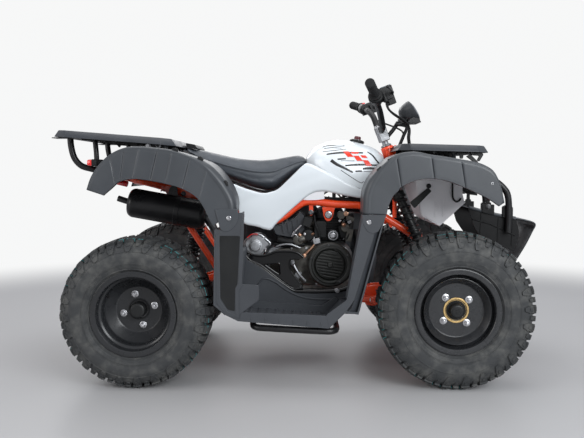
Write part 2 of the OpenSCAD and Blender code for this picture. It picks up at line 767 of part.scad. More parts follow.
// A tie rod: it hangs on the pitman's pin, and its outer eye stands round the knuckle's stud.
module tie_rod() {
    inner = [sx(head[0]), pin_y, head[2]] - pitman * [cos(rake), 0, sin(rake)]
        + (stem_foot - 8) * stem_axis;
    outer = [front_x - knuckle_arm, kingpin_y, rod_z + gap + 7];
    color(silver) difference() {
        union() {
            bar(inner, outer, 7);
            on_stem() translate([-pitman, pin_y, stem_foot - 15 - gap]) cylinder(h = 15, r = eye_r);
            translate(outer - [0, 0, 7]) cylinder(h = 14, r = eye_r);
        }
        on_stem() translate([-pitman, pin_y, stem_foot - 30]) cylinder(h = 60, r = 5.06);
        on_stem() translate([-pitman, pin_y, stem_foot - gap]) cylinder(h = 40, r = 3 * eye_r);
        translate(outer - [0, 0, 30]) cylinder(h = 60, r = stud_r + stud_play);
        translate(outer - [0, 0, 7 + 30]) cylinder(h = 30, r = 3 * eye_r);
    }
}

module tie_rod_left() {
    tie_rod();
}

module tie_rod_right() {
    mirror([0, 1, 0]) tie_rod();
}

// ---------- wheels ----------

function upside(p) = [for (i = [len(p) - 1 : -1 : 0]) [p[i][0], -p[i][1]]];
function inner_ring(p) = concat([for (q = p) [q[0], -q[1]]], [for (i = [len(p) - 1 : -1 : 0]) p[i]]);

module tyre(d, w, rim_half) {
    r = d / 2;
    h = w / 2;
    wall = 14;
    b = bead_r + gap;
    f = rim_d / 2 + 2;
    s = rim_half - rim_wall - 2 - gap;
    outer = [[b, -s], [f, -s - 1], [f + 14, -0.97 * h], [mix(f, r, 0.45), -h], [r - 26, -0.95 * h],
        [r - 8, -0.80 * h], [r, -0.55 * h]];
    inner = [[b, wall - s], [f, wall - s - 1], [f + 14, wall - 0.97 * h], [mix(f, r, 0.45), wall - h],
        [r - wall - 12, wall - 0.95 * h], [r - wall, -0.55 * h]];
    color(rubber) rotate_extrude($fn = 96) polygon(concat(outer, upside(outer), inner_ring(inner)));
}

// A rim about Z, with +Z to its outer face: half width, place of the disc, radius of the disc's well.
module rim(half, disc, well, hub_r) {
    f = rim_d / 2;
    t = rim_wall;
    color(black) rotate_extrude($fn = 96) polygon([[f, -half], [f, -half + t], [bead_r, -half + t + 2],
        [bead_r, -half + 26], [bead_r - 12, -half + 34], [bead_r - 12, half - 34], [bead_r, half - 26],
        [bead_r, half - t - 2], [f, half - t], [f, half], [bead_r - t, half], [bead_r - t, half - 28],
        [bead_r - 12 - t, half - 36], [bead_r - 12 - t, disc + 30], [well, disc + 2], [well - 3, disc],
        [hub_r, disc], [hub_r, disc - t], [well, disc - t], [bead_r - 12 - t - 3, disc + 20],
        [bead_r - 12 - t, -half + 36], [bead_r - t, -half + 28], [bead_r - t, -half]]);
}

front_half = front_tyre_w / 2 - 14;
rear_half = rear_tyre_w / 2 - 15;
front_disc = front_half - front_dish;
rear_disc = rear_half - rear_dish;
hub_bore = 34;

module front_wheel_rim() {
    on_axle(front_x, front_y, front_r) rim(front_half, front_disc, 92, hub_bore);
    // hub drum that turns on the knuckle's spindle
    color(silver) on_axle(front_x, kingpin_y, front_r) difference() {
        union() {
            translate([0, 0, 24]) cylinder(h = front_y - kingpin_y + front_disc - rim_wall - 24, r = 66);
            translate([0, 0, 24]) cylinder(h = front_y - kingpin_y + front_disc - 24 + 16, r = hub_bore - gap);
        }
        translate([0, 0, 10]) cylinder(h = 66 - 10, r = 15.06);
        translate([0, 0, 20]) cylinder(h = 8, r = 40);
    }
}

module front_rim_left() {
    front_wheel_rim();
}

module front_rim_right() {
    mirror([0, 1, 0]) front_wheel_rim();
}

module front_tyre_left() {
    on_axle(front_x, front_y, front_r) tyre(front_tyre_d, front_tyre_w, front_half);
}

module front_tyre_right() {
    mirror([0, 1, 0]) front_tyre_left();
}

module rear_tyre_left() {
    on_axle(rear_x, rear_y, rear_r) tyre(rear_tyre_d, rear_tyre_w, rear_half);
}

module rear_tyre_right() {
    mirror([0, 1, 0]) rear_tyre_left();
}

module rear_rims() {
    both_sides() on_axle(rear_x, rear_y, rear_r) rim(rear_half, rear_disc, 80, hub_bore);
}

module rear_axle() {
    flange_y = rear_y + rear_disc - rim_wall;
    color(silver) on_axle(rear_x, 0, rear_r) {
        translate([0, 0, -flange_y - 26]) cylinder(h = 2 * flange_y + 52, r = axle_d / 2);
        for (s = [-1, 1]) {
            translate([0, 0, s * (flange_y - 7 - gap) - 7]) cylinder(h = 14, r = 66);
            translate([0, 0, s * (flange_y - 40) - 30]) cylinder(h = 60, r = 26);
        }
        translate([0, 0, 96]) cylinder(h = 8, r = 92);
        translate([0, 0, -104]) cylinder(h = 5, r = 84);
    }
}

placed() top_rails();
placed() lower_rails();
placed() rear_stays();
placed() cross_tubes();
placed() steering_head();
placed() shock_towers();
placed() control_arms();
placed() front_shocks();
placed() swingarm();
placed() rear_shock();
placed() engine_block();
placed() engine_cylinder();
placed() engine_mounts();
placed() carburettor();
placed() fan_cover();
placed() gear_case();
placed() engine_guard();
placed() air_box();
placed() exhaust_pipe();
placed() muffler();
placed() seat();
placed() tank_cover();
placed() side_panels();
placed() fuel_cap();
placed() rear_mudguards();
placed() front_mudguards();
placed() front_fascia();
placed() footwell_right();
placed() footwell_left();
placed() rear_rack();
placed() front_rack();
placed() rack_tubes();
placed() tail_lights();
placed() front_bumper();
placed() bumper_tubes();
placed() step_bars();
placed() tow_hitch();
placed() steering_stem();
placed() handlebar();
placed() grips();
placed() bar_controls();
placed() brake_levers();
placed() headlight();
placed() knuckle_right();
placed() knuckle_left();
placed() tie_rod_right();
placed() tie_rod_left();
placed() front_tyre_right();
placed() front_tyre_left();
placed() front_rim_right();
placed() front_rim_left();
placed() rear_tyre_right();
placed() rear_tyre_left();
placed() rear_rims();
placed() rear_axle();
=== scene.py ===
import math

import bmesh
import bpy
import numpy as np
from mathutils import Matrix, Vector
from mathutils.bvhtree import BVHTree


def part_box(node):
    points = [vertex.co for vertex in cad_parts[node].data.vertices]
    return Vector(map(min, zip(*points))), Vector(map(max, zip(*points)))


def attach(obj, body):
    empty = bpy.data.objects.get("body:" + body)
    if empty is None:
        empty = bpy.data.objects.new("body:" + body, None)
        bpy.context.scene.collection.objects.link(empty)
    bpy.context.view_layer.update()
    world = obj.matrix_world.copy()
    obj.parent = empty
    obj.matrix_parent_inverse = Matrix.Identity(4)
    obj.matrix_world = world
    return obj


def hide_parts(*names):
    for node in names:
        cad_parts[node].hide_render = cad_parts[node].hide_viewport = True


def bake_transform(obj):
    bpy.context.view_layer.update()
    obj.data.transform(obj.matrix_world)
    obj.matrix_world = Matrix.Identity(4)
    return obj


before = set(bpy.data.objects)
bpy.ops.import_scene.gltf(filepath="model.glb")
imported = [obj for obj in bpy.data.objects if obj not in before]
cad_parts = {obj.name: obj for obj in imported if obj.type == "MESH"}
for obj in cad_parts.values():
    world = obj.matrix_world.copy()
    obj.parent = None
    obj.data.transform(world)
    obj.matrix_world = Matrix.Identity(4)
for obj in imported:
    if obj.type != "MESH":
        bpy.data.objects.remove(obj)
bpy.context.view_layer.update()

# Places are written in millimetres: +X to the front, +Y to the rider's left, +Z up, the ground at 0,
# and the rear axle at x = -508. piece() takes them into the frame's own place, in metres.
MM = 0.001


def middle(node):
    """The middle of a CAD node's box, in millimetres of the frame."""
    low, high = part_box(node)
    return (np.array(low) + np.array(high)) / 2 / MM


REAR_X = -508
SHIFT = np.array([middle("rear_rims")[0] - REAR_X, 0, 0])
REAR_AXLE = middle("rear_rims") - SHIFT
FRONT_AXLE = middle("front_rim_left") - SHIFT
REAR_AXLE[1] = FRONT_AXLE[1] = 0


def half_span(node, axis):
    """Half of a CAD node's extent along an axis, in millimetres."""
    low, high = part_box(node)
    return (high[axis] - low[axis]) / 2 / MM


REAR_R = half_span("rear_tyre_left", 2)
FRONT_R = half_span("front_tyre_left", 2)
REAR_HALF_W = half_span("rear_tyre_left", 1)
FRONT_HALF_W = half_span("front_tyre_left", 1)
REAR_Y = middle("rear_tyre_left")[1]
FRONT_Y = middle("front_tyre_left")[1]
RIM_R = half_span("front_rim_left", 2)
BODY_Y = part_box("rear_mudguards")[1][1] / MM
RAKE = math.radians(20)
HEAD = np.array([388.0, 0, 791])


def row(*p):
    """A place written in millimetres, in the frame in metres."""
    return tuple((np.array(p, float) + SHIFT) * MM)


# ---------- shapes: each is (points in mm, faces) ----------


def pts(*p):
    """The points given, as one array."""
    return np.array(p, float)


def smooth(p, n=6, closed=False):
    """A Catmull-Rom curve through p, with n steps in each stretch: for neighbours a b c d,
    q(t) = (2b + (c-a)t + (2a-5b+4c-d)t^2 + (3b-a-3c+d)t^3) / 2."""
    p = np.asarray(p, float)
    if closed:
        a, b, c, d = np.roll(p, 1, 0), p, np.roll(p, -1, 0), np.roll(p, -2, 0)
    else:
        pad = np.concatenate([p[:1], p, p[-1:]])
        a, b, c, d = pad[:-3], pad[1:-2], pad[2:-1], pad[3:]
    t = (np.arange(n) / n)[None, :, None]
    a, b, c, d = (v[:, None] for v in (a, b, c, d))
    q = 0.5 * (2 * b + (c - a) * t + (2 * a - 5 * b + 4 * c - d) * t**2 + (3 * b - a - 3 * c + d) * t**3)
    q = q.reshape(-1, p.shape[1])
    return q if closed else np.concatenate([q, p[-1:]])


def surface(p, wrap_rows=False, wrap_cols=False, caps=False):
    """Quads between neighbours of a grid of points p(i, j); caps close the first and last row."""
    rows, cols = p.shape[:2]
    i, j = np.meshgrid(
        np.arange(rows if wrap_rows else rows - 1), np.arange(cols if wrap_cols else cols - 1), indexing="ij"
    )
    k, m = (i + 1) % rows, (j + 1) % cols
    faces = np.stack([i * cols + j, i * cols + m, k * cols + m, k * cols + j], -1).reshape(-1, 4).tolist()
    if caps:
        faces += [list(range(cols))[::-1], list(range((rows - 1) * cols, rows * cols))]
    return p.reshape(-1, 3), faces


def joined(parts):
    """Several parts as one: their points after each other, and faces counted on."""
    points, faces, start = [], [], 0
    for p, f in parts:
        points.append(np.asarray(p, float))
        faces += [[v + start for v in face] for face in f]
        start += len(p)
    return np.concatenate(points), faces


def moved(part, by=(0, 0, 0), turn=None):
    """part turned by a 3 x 3 matrix, then moved."""
    p = np.asarray(part[0], float)
    if turn is not None:
        p = p @ np.asarray(turn).T
    return p + np.asarray(by, float), part[1]


def mirrored(part):
    """A part on the other side of the middle plane, its faces turned to stay outward."""
    return np.asarray(part[0], float) * [1, -1, 1], [f[::-1] for f in part[1]]


def both(parts):
    """The parts and their mirror images."""
    return list(parts) + [mirrored(q) for q in parts]


def right(parts):
    """What is drawn on the left, on the right side instead."""
    return [mirrored(q) for q in parts]


def about(axis, angle):
    """The matrix that turns by angle about a unit axis (Rodrigues)."""
    x, y, z = axis
    k = np.array([[0, -z, y], [z, 0, -x], [-y, x, 0]])
    return np.eye(3) + math.sin(angle) * k + (1 - math.cos(angle)) * (k @ k)


def pitched(degrees):
    """The matrix that turns by so many degrees about Y."""
    return about((0, 1, 0), math.radians(degrees))


def facing(direction):
    """The matrix that turns +Z to a direction."""
    w = np.array(direction, float)
    w /= np.linalg.norm(w)
    u = np.cross([0, 1, 0], w) if abs(w[1]) < 0.9 else np.cross([0, 0, 1], w)
    u /= np.linalg.norm(u)
    return np.stack([u, np.cross(w, u), w], 1)


def tube(path, r, sides=14, closed=False, flat=1.0):
    """A ring carried along a path without twist: p(i, a) = path(i) + r(i) (cos a u(i) + flat sin a v(i))."""
    path = np.asarray(path, float)
    n = len(path)
    ahead = np.roll(path, -1, 0) - np.roll(path, 1, 0)
    if not closed:
        ahead[0], ahead[-1] = path[1] - path[0], path[-1] - path[-2]
    t = ahead / np.linalg.norm(ahead, axis=1)[:, None]
    u = np.zeros_like(t)
    u[0] = np.cross(t[0], [0, 1, 0] if abs(t[0][1]) < 0.9 else [1, 0, 0])
    for i in range(1, n):
        u[i] = u[i - 1] - (u[i - 1] @ t[i]) * t[i]
    u /= np.linalg.norm(u, axis=1)[:, None]
    v = np.cross(t, u)
    a = np.linspace(0, 2 * math.pi, sides, endpoint=False)[None, :, None]
    r = np.broadcast_to(np.asarray(r, float), (n,))[:, None, None]
    p = path[:, None] + r * (np.cos(a) * u[:, None] + flat * np.sin(a) * v[:, None])
    return surface(p, wrap_rows=closed, wrap_cols=True, caps=not closed)


def lathe(profile, centre=(0, 0, 0), axis=(0, 1, 0), steps=64, loop=False):
    """A profile of (radius, height) turned about an axis:
    p(a, i) = centre + r(i) (cos a u + sin a v) + h(i) axis."""
    q = np.asarray(profile, float)
    m = facing(axis)
    a = np.linspace(0, 2 * math.pi, steps, endpoint=False)[:, None]
    ring = np.stack(
        [q[None, :, 0] * np.cos(a), q[None, :, 0] * np.sin(a),
         np.broadcast_to(q[None, :, 1], (steps, len(q)))], -1
    )
    p = np.swapaxes(ring @ m.T + np.asarray(centre, float), 0, 1)
    return surface(p, wrap_rows=loop, wrap_cols=True, caps=not loop)


def at_y(outline, y):
    """An outline of (x, z) as points that lie at one y."""
    q = np.asarray(outline, float)
    return np.stack([q[:, 0], np.full(len(q), y), q[:, 1]], -1)


def slab(outline, y0, y1):
    """A flat outline in X and Z carried from y0 to y1."""
    p = np.stack([at_y(outline, y) for y in (y0, y1)])
    return surface(p, wrap_cols=True, caps=True)


def block(centre, size, turn=None):
    """A box with its middle at centre, turned by a matrix."""
    x, y, z = np.array(size, float) / 2
    part = slab([(-x, -z), (x, -z), (x, z), (-x, z)], -y, y)
    return moved(part, centre, turn)


def loft(rings):
    """A skin over rings with the same number of points."""
    return surface(np.asarray(rings, float), wrap_cols=True, caps=True)


def rod(a, b, r, steps=16, edge=0.0):
    """A straight round bar from a to b, its ends rounded by edge."""
    a, b = np.array(a, float), np.array(b, float)
    h = np.linalg.norm(b - a)
    profile = [(r - edge, 0), (r - 0.3 * edge, 0.3 * edge), (r, edge), (r, h - edge),
               (r - 0.3 * edge, h - 0.3 * edge)]
    profile = profile + [(r - edge, h)] if edge else [(r, 0), (r, h)]
    return lathe(profile, a, b - a, steps)


def hex_bolt(centre, direction, across=14.0, height=7.0, washer=True):
    """A hexagon head on a washer, standing on centre and pointing along direction."""
    r = across / 2
    parts = [lathe([(0.95 * r, 0), (r, 0.8), (r, height - 1.2), (0.86 * r, height)], centre, direction, 6)]
    if washer:
        parts.append(lathe([(1.45 * r, -1), (1.45 * r, 1.2), (1.3 * r, 1.8)], centre, direction, 20))
    return parts


def dome_screw(centre, direction, r=9.0, height=4.0):
    """A round-headed screw with a hollow socket, standing on centre."""
    return [
        lathe(
            [(0.05, 0.3), (0.36 * r, 0.3), (0.4 * r, height), (0.66 * r, height), (0.9 * r, 0.6 * height),
             (r, -1)],
            centre,
            direction,
            20,
        )
    ]


def coil(a, b, r, wire, turns):
    """A spring: a helix of radius r about the line from a to b, with flat end turns."""
    a, b = np.array(a, float), np.array(b, float)
    t = np.linspace(0, 1, int(turns * 24))
    angle = 2 * math.pi * turns * t
    ease = t + np.sin(2 * math.pi * t) * 0.04
    local = np.stack([r * np.cos(angle), r * np.sin(angle), np.linalg.norm(b - a) * ease], -1)
    return tube(local @ facing(b - a).T + a, wire, 8)


def stem(u, y, w):
    """A place given along the steering stem's own axes: u ahead of it, y to the left, w up it."""
    u, y, w = (np.asarray(q, float) for q in (u, y, w))
    x = HEAD[0] + u * math.cos(RAKE) - w * math.sin(RAKE)
    z = HEAD[2] + u * math.sin(RAKE) + w * math.cos(RAKE)
    return np.stack(np.broadcast_arrays(x, y, z), -1)


def on_stem(part):
    """A part drawn in the stem's axes, in its place."""
    p = np.asarray(part[0], float)
    return stem(p[:, 0], p[:, 1], p[:, 2]), part[1]


def modifier(obj, kind, **values):
    """A modifier of a kind, with its settings."""
    m = obj.modifiers.new(kind.title(), kind)
    for key, value in values.items():
        setattr(m, key, value)
    return m


def piece(name, parts, body, finish, stands_for=(), edge=0.0, wall=0.0, crease=34, steps=2):
    """One object from its parts: merged, facing outwards, rounded by edge mm or with a wall of wall mm."""
    points, faces = joined(parts)
    mesh = bpy.data.meshes.new(name)
    mesh.from_pydata(((points + SHIFT) * MM).tolist(), [], faces)
    work = bmesh.new()
    work.from_mesh(mesh)
    bmesh.ops.remove_doubles(work, verts=work.verts, dist=2e-6)
    bmesh.ops.recalc_face_normals(work, faces=work.faces)
    work.to_mesh(mesh)
    work.free()
    mesh.polygons.foreach_set("use_smooth", np.ones(len(mesh.polygons), bool))
    mesh.set_sharp_from_angle(angle=math.radians(crease))
    obj = bpy.data.objects.new(name, mesh)
    bpy.context.scene.collection.objects.link(obj)
    obj.data.materials.append(finish)
    if wall:
        modifier(obj, "SOLIDIFY", thickness=wall * MM, offset=0.0)
    if edge:
        modifier(obj, "BEVEL", width=edge * MM, segments=steps, limit_method="ANGLE",
                 angle_limit=math.radians(38))
    if body:
        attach(obj, body)
    if stands_for:
        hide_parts(*stands_for)
    return obj


# ---------- camera, floor and light ----------

EYE = (46.5, -2845, 717)
LOOK = (-0.01254, 0.99795, -0.06281)
LENS = 44.9
FLOOR_FADE = (2.2, 3.6)


def aim(obj, direction):
    """Turns a camera or lamp to look along a direction."""
    obj.rotation_euler = Vector(direction).to_track_quat("-Z", "Y").to_euler()


def add_camera():
    """The camera at standing eye height beside the machine."""
    camera = bpy.data.objects.new("camera", bpy.data.cameras.new("camera"))
    camera.data.lens = LENS
    camera.data.sensor_width = 36
    camera.location = row(*EYE)
    aim(camera, LOOK)
    bpy.context.scene.collection.objects.link(camera)
    bpy.context.scene.camera = camera


def add_lamp(name, place, target, size, power, colour):
    """A soft rectangular lamp."""
    lamp = bpy.data.lights.new(name, "AREA")
    lamp.shape = "RECTANGLE"
    lamp.size, lamp.size_y = size
    lamp.energy = power
    lamp.color = colour
    obj = bpy.data.objects.new(name, lamp)
    obj.location = place
    aim(obj, Vector(target) - Vector(place))
    bpy.context.scene.collection.objects.link(obj)


def add_world():
    """Soft light from all round, with a pale wall behind."""
    world = bpy.data.worlds.new("studio")
    world.use_nodes = True
    bpy.context.scene.world = world
    t = world.node_tree
    back = t.nodes["Background"]
    back.inputs["Color"].default_value = (0.93, 0.95, 1.0, 1)
    back.inputs["Strength"].default_value = 0.52
    seen = t.nodes.new("ShaderNodeBackground")
    seen.inputs["Color"].default_value = (0.93, 0.935, 0.935, 1)
    seen.inputs["Strength"].default_value = 1.0
    path = t.nodes.new("ShaderNodeLightPath")
    either = maths(t, "MAXIMUM", path.outputs["Is Camera Ray"], path.outputs["Is Transmission Ray"])
    mix = t.nodes.new("ShaderNodeMixShader")
    t.links.new(either, mix.inputs[0])
    t.links.new(back.outputs[0], mix.inputs[1])
    t.links.new(seen.outputs[0], mix.inputs[2])
    t.links.new(mix.outputs[0], t.nodes["World Output"].inputs[0])


def add_floor():
    """A wide plain floor that turns to the pale background far from the machine."""
    mesh = bpy.data.meshes.new("floor")
    s = 20.0
    mesh.from_pydata([(-s, -s, 0), (s, -s, 0), (s, s, 0), (-s, s, 0)], [], [(0, 1, 2, 3)])
    floor = bpy.data.objects.new("floor", mesh)
    bpy.context.scene.collection.objects.link(floor)
    m, t, shader, where = new_finish("floor", (0.43, 0.43, 0.44), 0.42)
    cloud = noise(t, where, 1.3, 4)
    tint(t, shader, cloud, (0.420, 0.418, 0.424), (0.450, 0.448, 0.454))
    flat = t.nodes.new("ShaderNodeVectorMath")
    flat.operation = "LENGTH"
    t.links.new(where, flat.inputs[0])
    fade = ramp(t, flat.outputs["Value"], *FLOOR_FADE)
    glow = t.nodes.new("ShaderNodeEmission")
    glow.inputs["Color"].default_value = (0.93, 0.935, 0.935, 1)
    path = t.nodes.new("ShaderNodeLightPath")
    mix = t.nodes.new("ShaderNodeMixShader")
    t.links.new(maths(t, "MULTIPLY", fade, path.outputs["Is Camera Ray"]), mix.inputs[0])
    t.links.new(shader.outputs[0], mix.inputs[1])
    t.links.new(glow.outputs[0], mix.inputs[2])
    t.links.new(mix.outputs[0], t.nodes["Material Output"].inputs[0])
    floor.data.materials.append(m)


# ---------- finishes ----------


def new_finish(name, colour, rough, metallic=0.0, coat=0.0, specular=0.5):
    """A material with its shader, and the place its patterns read."""
    m = bpy.data.materials.new(name)
    m.use_nodes = True
    t = m.node_tree
    shader = t.nodes["Principled BSDF"]
    shader.inputs["Base Color"].default_value = (*colour, 1)
    shader.inputs["Roughness"].default_value = rough
    shader.inputs["Metallic"].default_value = metallic
    shader.inputs["Coat Weight"].default_value = coat
    shader.inputs["Coat Roughness"].default_value = 0.08
    shader.inputs["Specular IOR Level"].default_value = specular
    m.diffuse_color = (*colour, 1)
    where = t.nodes.new("ShaderNodeTexCoord").outputs["Object"]
    return m, t, shader, where


def noise(t, where, scale, detail=3.0, rough=0.55):
    """Cloudy noise, from 0 to 1."""
    n = t.nodes.new("ShaderNodeTexNoise")
    n.inputs["Scale"].default_value = scale
    n.inputs["Detail"].default_value = detail
    n.inputs["Roughness"].default_value = rough
    t.links.new(where, n.inputs["Vector"])
    return n.outputs["Fac"]


def maths(t, kind, a, b=None):
    """One sum of two values."""
    n = t.nodes.new("ShaderNodeMath")
    n.operation = kind
    for socket, value in zip(n.inputs, (a, b)):
        if isinstance(value, (int, float)):
            socket.default_value = value
        elif value is not None:
            t.links.new(value, socket)
    return n.outputs[0]


def ramp(t, value, low, high, to_low=0.0, to_high=1.0):
    """value taken smoothly from low..high to to_low..to_high."""
    n = t.nodes.new("ShaderNodeMapRange")
    n.interpolation_type = "SMOOTHSTEP"
    t.links.new(value, n.inputs["Value"])
    for socket, number in zip(list(n.inputs)[1:5], (low, high, to_low, to_high)):
        socket.default_value = number
    return n.outputs["Result"]


def tint(t, shader, share, a, b):
    """The base colour, mixed from a to b by share."""
    n = t.nodes.new("ShaderNodeMix")
    n.data_type = "RGBA"
    t.links.new(share, n.inputs[0])
    for k, colour in ((6, a), (7, b)):
        if isinstance(colour, tuple):
            n.inputs[k].default_value = (*colour, 1)
        else:
            t.links.new(colour, n.inputs[k])
    t.links.new(n.outputs[2], shader.inputs["Base Color"])
    return n.outputs[2]


def bump(t, shader, height, strength, distance):
    """Relief in the surface."""
    n = t.nodes.new("ShaderNodeBump")
    n.inputs["Strength"].default_value = strength
    n.inputs["Distance"].default_value = distance
    t.links.new(height, n.inputs["Height"])
    t.links.new(n.outputs[0], shader.inputs["Normal"])


def shade(colour, by):
    """A colour made lighter or darker."""
    return tuple(min(1.0, c * by) for c in colour)


def moulded(name, colour, rough, grain=900.0, depth=0.00012, vary=0.1, coat=0.0, wear=0.06,
             specular=0.5):
    """Plastic or paint: a fine grain in its surface, and slow changes of tone and gloss over it."""
    m, t, shader, where = new_finish(name, colour, rough, coat=coat, specular=specular)
    slow = noise(t, where, 7.0, 4)
    tint(t, shader, ramp(t, slow, 0.3, 0.7), shade(colour, 1 - vary), shade(colour, 1 + vary))
    t.links.new(
        ramp(t, noise(t, where, 23.0, 5), 0.3, 0.7, max(0.02, rough - wear), min(1.0, rough + wear)),
        shader.inputs["Roughness"],
    )
    bump(t, shader, noise(t, where, grain, 2), 0.5, depth)
    return m


def tyre_rubber(name, line_y):
    """Rubber with dust on the walls, scuffs, and a broken chalk line round each shoulder."""
    base = (0.034, 0.036, 0.038)
    m, t, shader, where = new_finish(name, base, 0.7, specular=0.35)
    dust = ramp(t, noise(t, where, 24.0, 7, 0.62), 0.40, 0.80)
    dusty = tint(t, shader, dust, base, (0.092, 0.092, 0.088))
    split = t.nodes.new("ShaderNodeSeparateXYZ")
    t.links.new(where, split.inputs[0])
    across = maths(t, "ABSOLUTE", split.outputs[1])
    off = maths(t, "ABSOLUTE", maths(t, "SUBTRACT", across, line_y))
    line = maths(t, "LESS_THAN", off, 0.0014)
    broken = maths(t, "GREATER_THAN", noise(t, where, 13.0, 3), 0.5)
    chalk = maths(t, "MULTIPLY", line, broken)
    tint(t, shader, chalk, dusty, (0.06, 0.38, 0.40))
    t.links.new(ramp(t, noise(t, where, 40.0, 4), 0.3, 0.7, 0.55, 0.82), shader.inputs["Roughness"])
    bump(t, shader, noise(t, where, 420.0, 4), 0.5, 0.0004)
    return m


def vinyl(name, colour):
    """Seat cover: a pebbled grain of small cells over foam."""
    m, t, shader, where = new_finish(name, colour, 0.5, specular=0.5)
    cells = t.nodes.new("ShaderNodeTexVoronoi")
    cells.feature = "DISTANCE_TO_EDGE"
    cells.inputs["Scale"].default_value = 520.0
    t.links.new(where, cells.inputs["Vector"])
    tint(t, shader, ramp(t, noise(t, where, 11.0, 4), 0.3, 0.7), shade(colour, 0.88), shade(colour, 1.14))
    t.links.new(ramp(t, noise(t, where, 30.0, 3), 0.3, 0.7, 0.42, 0.56), shader.inputs["Roughness"])
    bump(t, shader, ramp(t, cells.outputs["Distance"], 0.0, 0.2), 0.4, 0.00025)
    return m


def cast_metal(name, colour, rough=0.42, grain=700.0, dark=0.55):
    """Cast or machined metal with oil-dark hollows and a sandy skin."""
    m, t, shader, where = new_finish(name, colour, rough, metallic=1.0)
    stain = ramp(t, noise(t, where, 17.0, 6, 0.6), 0.35, 0.7)
    tint(t, shader, stain, shade(colour, dark), colour)
    t.links.new(ramp(t, noise(t, where, 60.0, 3), 0.3, 0.7, rough - 0.1, rough + 0.15),
                shader.inputs["Roughness"])
    bump(t, shader, noise(t, where, grain, 3), 0.5, 0.0002)
    return m


CHARCOAL = moulded("charcoal_plastic", (0.044, 0.049, 0.056), 0.42, grain=1100, depth=0.00010, vary=0.07)
WELL_PLASTIC = moulded("footwell_plastic", (0.037, 0.041, 0.048), 0.52, grain=800, depth=0.00018, vary=0.08)
WHITE = moulded("white_plastic", (0.72, 0.765, 0.80), 0.22, grain=300, depth=0.00002, vary=0.015, coat=0.4,
                wear=0.04)
INNER_WHITE = moulded("white_inner_plastic", (0.86, 0.85, 0.88), 0.42, grain=500, depth=0.00006, vary=0.03)
PAINT = moulded("frame_paint", (0.90, 0.075, 0.016), 0.26, grain=260, depth=0.00004, vary=0.08, coat=0.35)
BLACK_PAINT = moulded("black_paint", (0.010, 0.010, 0.011), 0.34, grain=500, depth=0.00008, vary=0.2,
                      wear=0.08,
                       specular=0.35)
WHEEL_PAINT = moulded("wheel_paint", (0.018, 0.019, 0.021), 0.29, grain=420, depth=0.00010, vary=0.15,
                      wear=0.07)
GLOSS_BLACK = moulded("gloss_black_plastic", (0.003, 0.003, 0.0035), 0.10, grain=200, depth=0.00002,
                      coat=0.2, wear=0.03,
                       specular=0.32)
BLACK_PLASTIC = moulded("black_plastic", (0.010, 0.0105, 0.011), 0.42, grain=900, depth=0.00014, vary=0.15,
                        specular=0.32)
# Black bumper plastic, darkened further as painted shade for the bumper's shaded side plates.
BUMPER_BLACK_AND_SHADE = moulded("bumper_plastic_and_shade", (0.0035, 0.0035, 0.004), 0.5, grain=900, depth=0.0001, vary=0.1,
                       specular=0.2)
RUBBER = moulded("rubber", (0.012, 0.012, 0.013), 0.66, grain=1500, depth=0.00012, vary=0.15, specular=0.3)
SEAT_VINYL = vinyl("seat_cover", (0.052, 0.060, 0.072))
ALLOY = cast_metal("cast_alloy", (0.50, 0.51, 0.53))
DARK_ALLOY = cast_metal("stained_alloy", (0.23, 0.22, 0.20), 0.5, dark=0.45)
STEEL = cast_metal("bright_steel", (0.66, 0.66, 0.68), 0.27, grain=300, dark=0.7)
DARK_STEEL = cast_metal("oiled_steel", (0.16, 0.16, 0.165), 0.4, dark=0.5)
ZINC_GOLD = cast_metal("yellow_zinc", (0.72, 0.50, 0.22), 0.34, grain=300, dark=0.8)
COPPER = cast_metal("brass_fitting", (0.72, 0.42, 0.28), 0.35, dark=0.7)
LAMP_RED = moulded("lamp_red", (0.72, 0.012, 0.010), 0.10, grain=90, depth=0.0002, coat=0.6)
LENS_GREY = moulded("lamp_glass", (0.17, 0.18, 0.20), 0.14, grain=60, depth=0.0003, coat=0.7)
DECAL_BLACK = moulded("black_decal", (0.012, 0.012, 0.014), 0.25, grain=300, depth=0.00002, coat=0.3)
SUMP_ALLOY = cast_metal("sump_alloy", (0.36, 0.35, 0.33), 0.5, dark=0.55)
FAN_PLASTIC = moulded("fan_plastic", (0.026, 0.027, 0.024), 0.34, grain=700, depth=0.0001, vary=0.2)
KNOB_BROWN = moulded("knob_brown", (0.10, 0.016, 0.022), 0.3, grain=600)
BLACK_RACK = moulded("rack_plastic", (0.034, 0.038, 0.045), 0.40, grain=700, depth=0.00012, vary=0.1)
GREY_BLUE = moulded("grey_cap", (0.085, 0.105, 0.125), 0.4, grain=600)
CHARCOAL_DARK = moulded("lamp_shell", (0.030, 0.033, 0.037), 0.42, grain=800, depth=0.0001)
ZINC_GREY = cast_metal("zinc_plate", (0.42, 0.42, 0.44), 0.36, grain=300, dark=0.7)
TYRE_FRONT = tyre_rubber("front_tyre_rubber", (FRONT_Y + 0.60 * FRONT_HALF_W) * MM)
TYRE_REAR = tyre_rubber("rear_tyre_rubber", (REAR_Y + 0.66 * REAR_HALF_W) * MM)
DECAL_RED = moulded("red_decal", (0.72, 0.040, 0.018), 0.25, grain=300, depth=0.00002, coat=0.3)

add_camera()
add_world()
add_floor()
add_lamp("key", (2.1, -3.6, 2.1), (0, 0, 0.45), (2.8, 2.2), 150, (0.95, 0.98, 1.0))
add_lamp("top", (0.0, 0.2, 3.4), (0, 0, 0.4), (3.2, 2.6), 44, (1, 1, 1))
add_lamp("fill", (-3.2, -2.2, 1.6), (0, 0, 0.5), (2.2, 2.0), 46, (1.0, 0.975, 0.95))
add_lamp("back", (-0.6, 3.4, 2.4), (0, 0, 0.5), (3.0, 2.0), 38, (1, 1, 1))
bpy.context.scene.view_settings.view_transform = "Standard"


# ---------- wheels ----------

LUG = 11.0


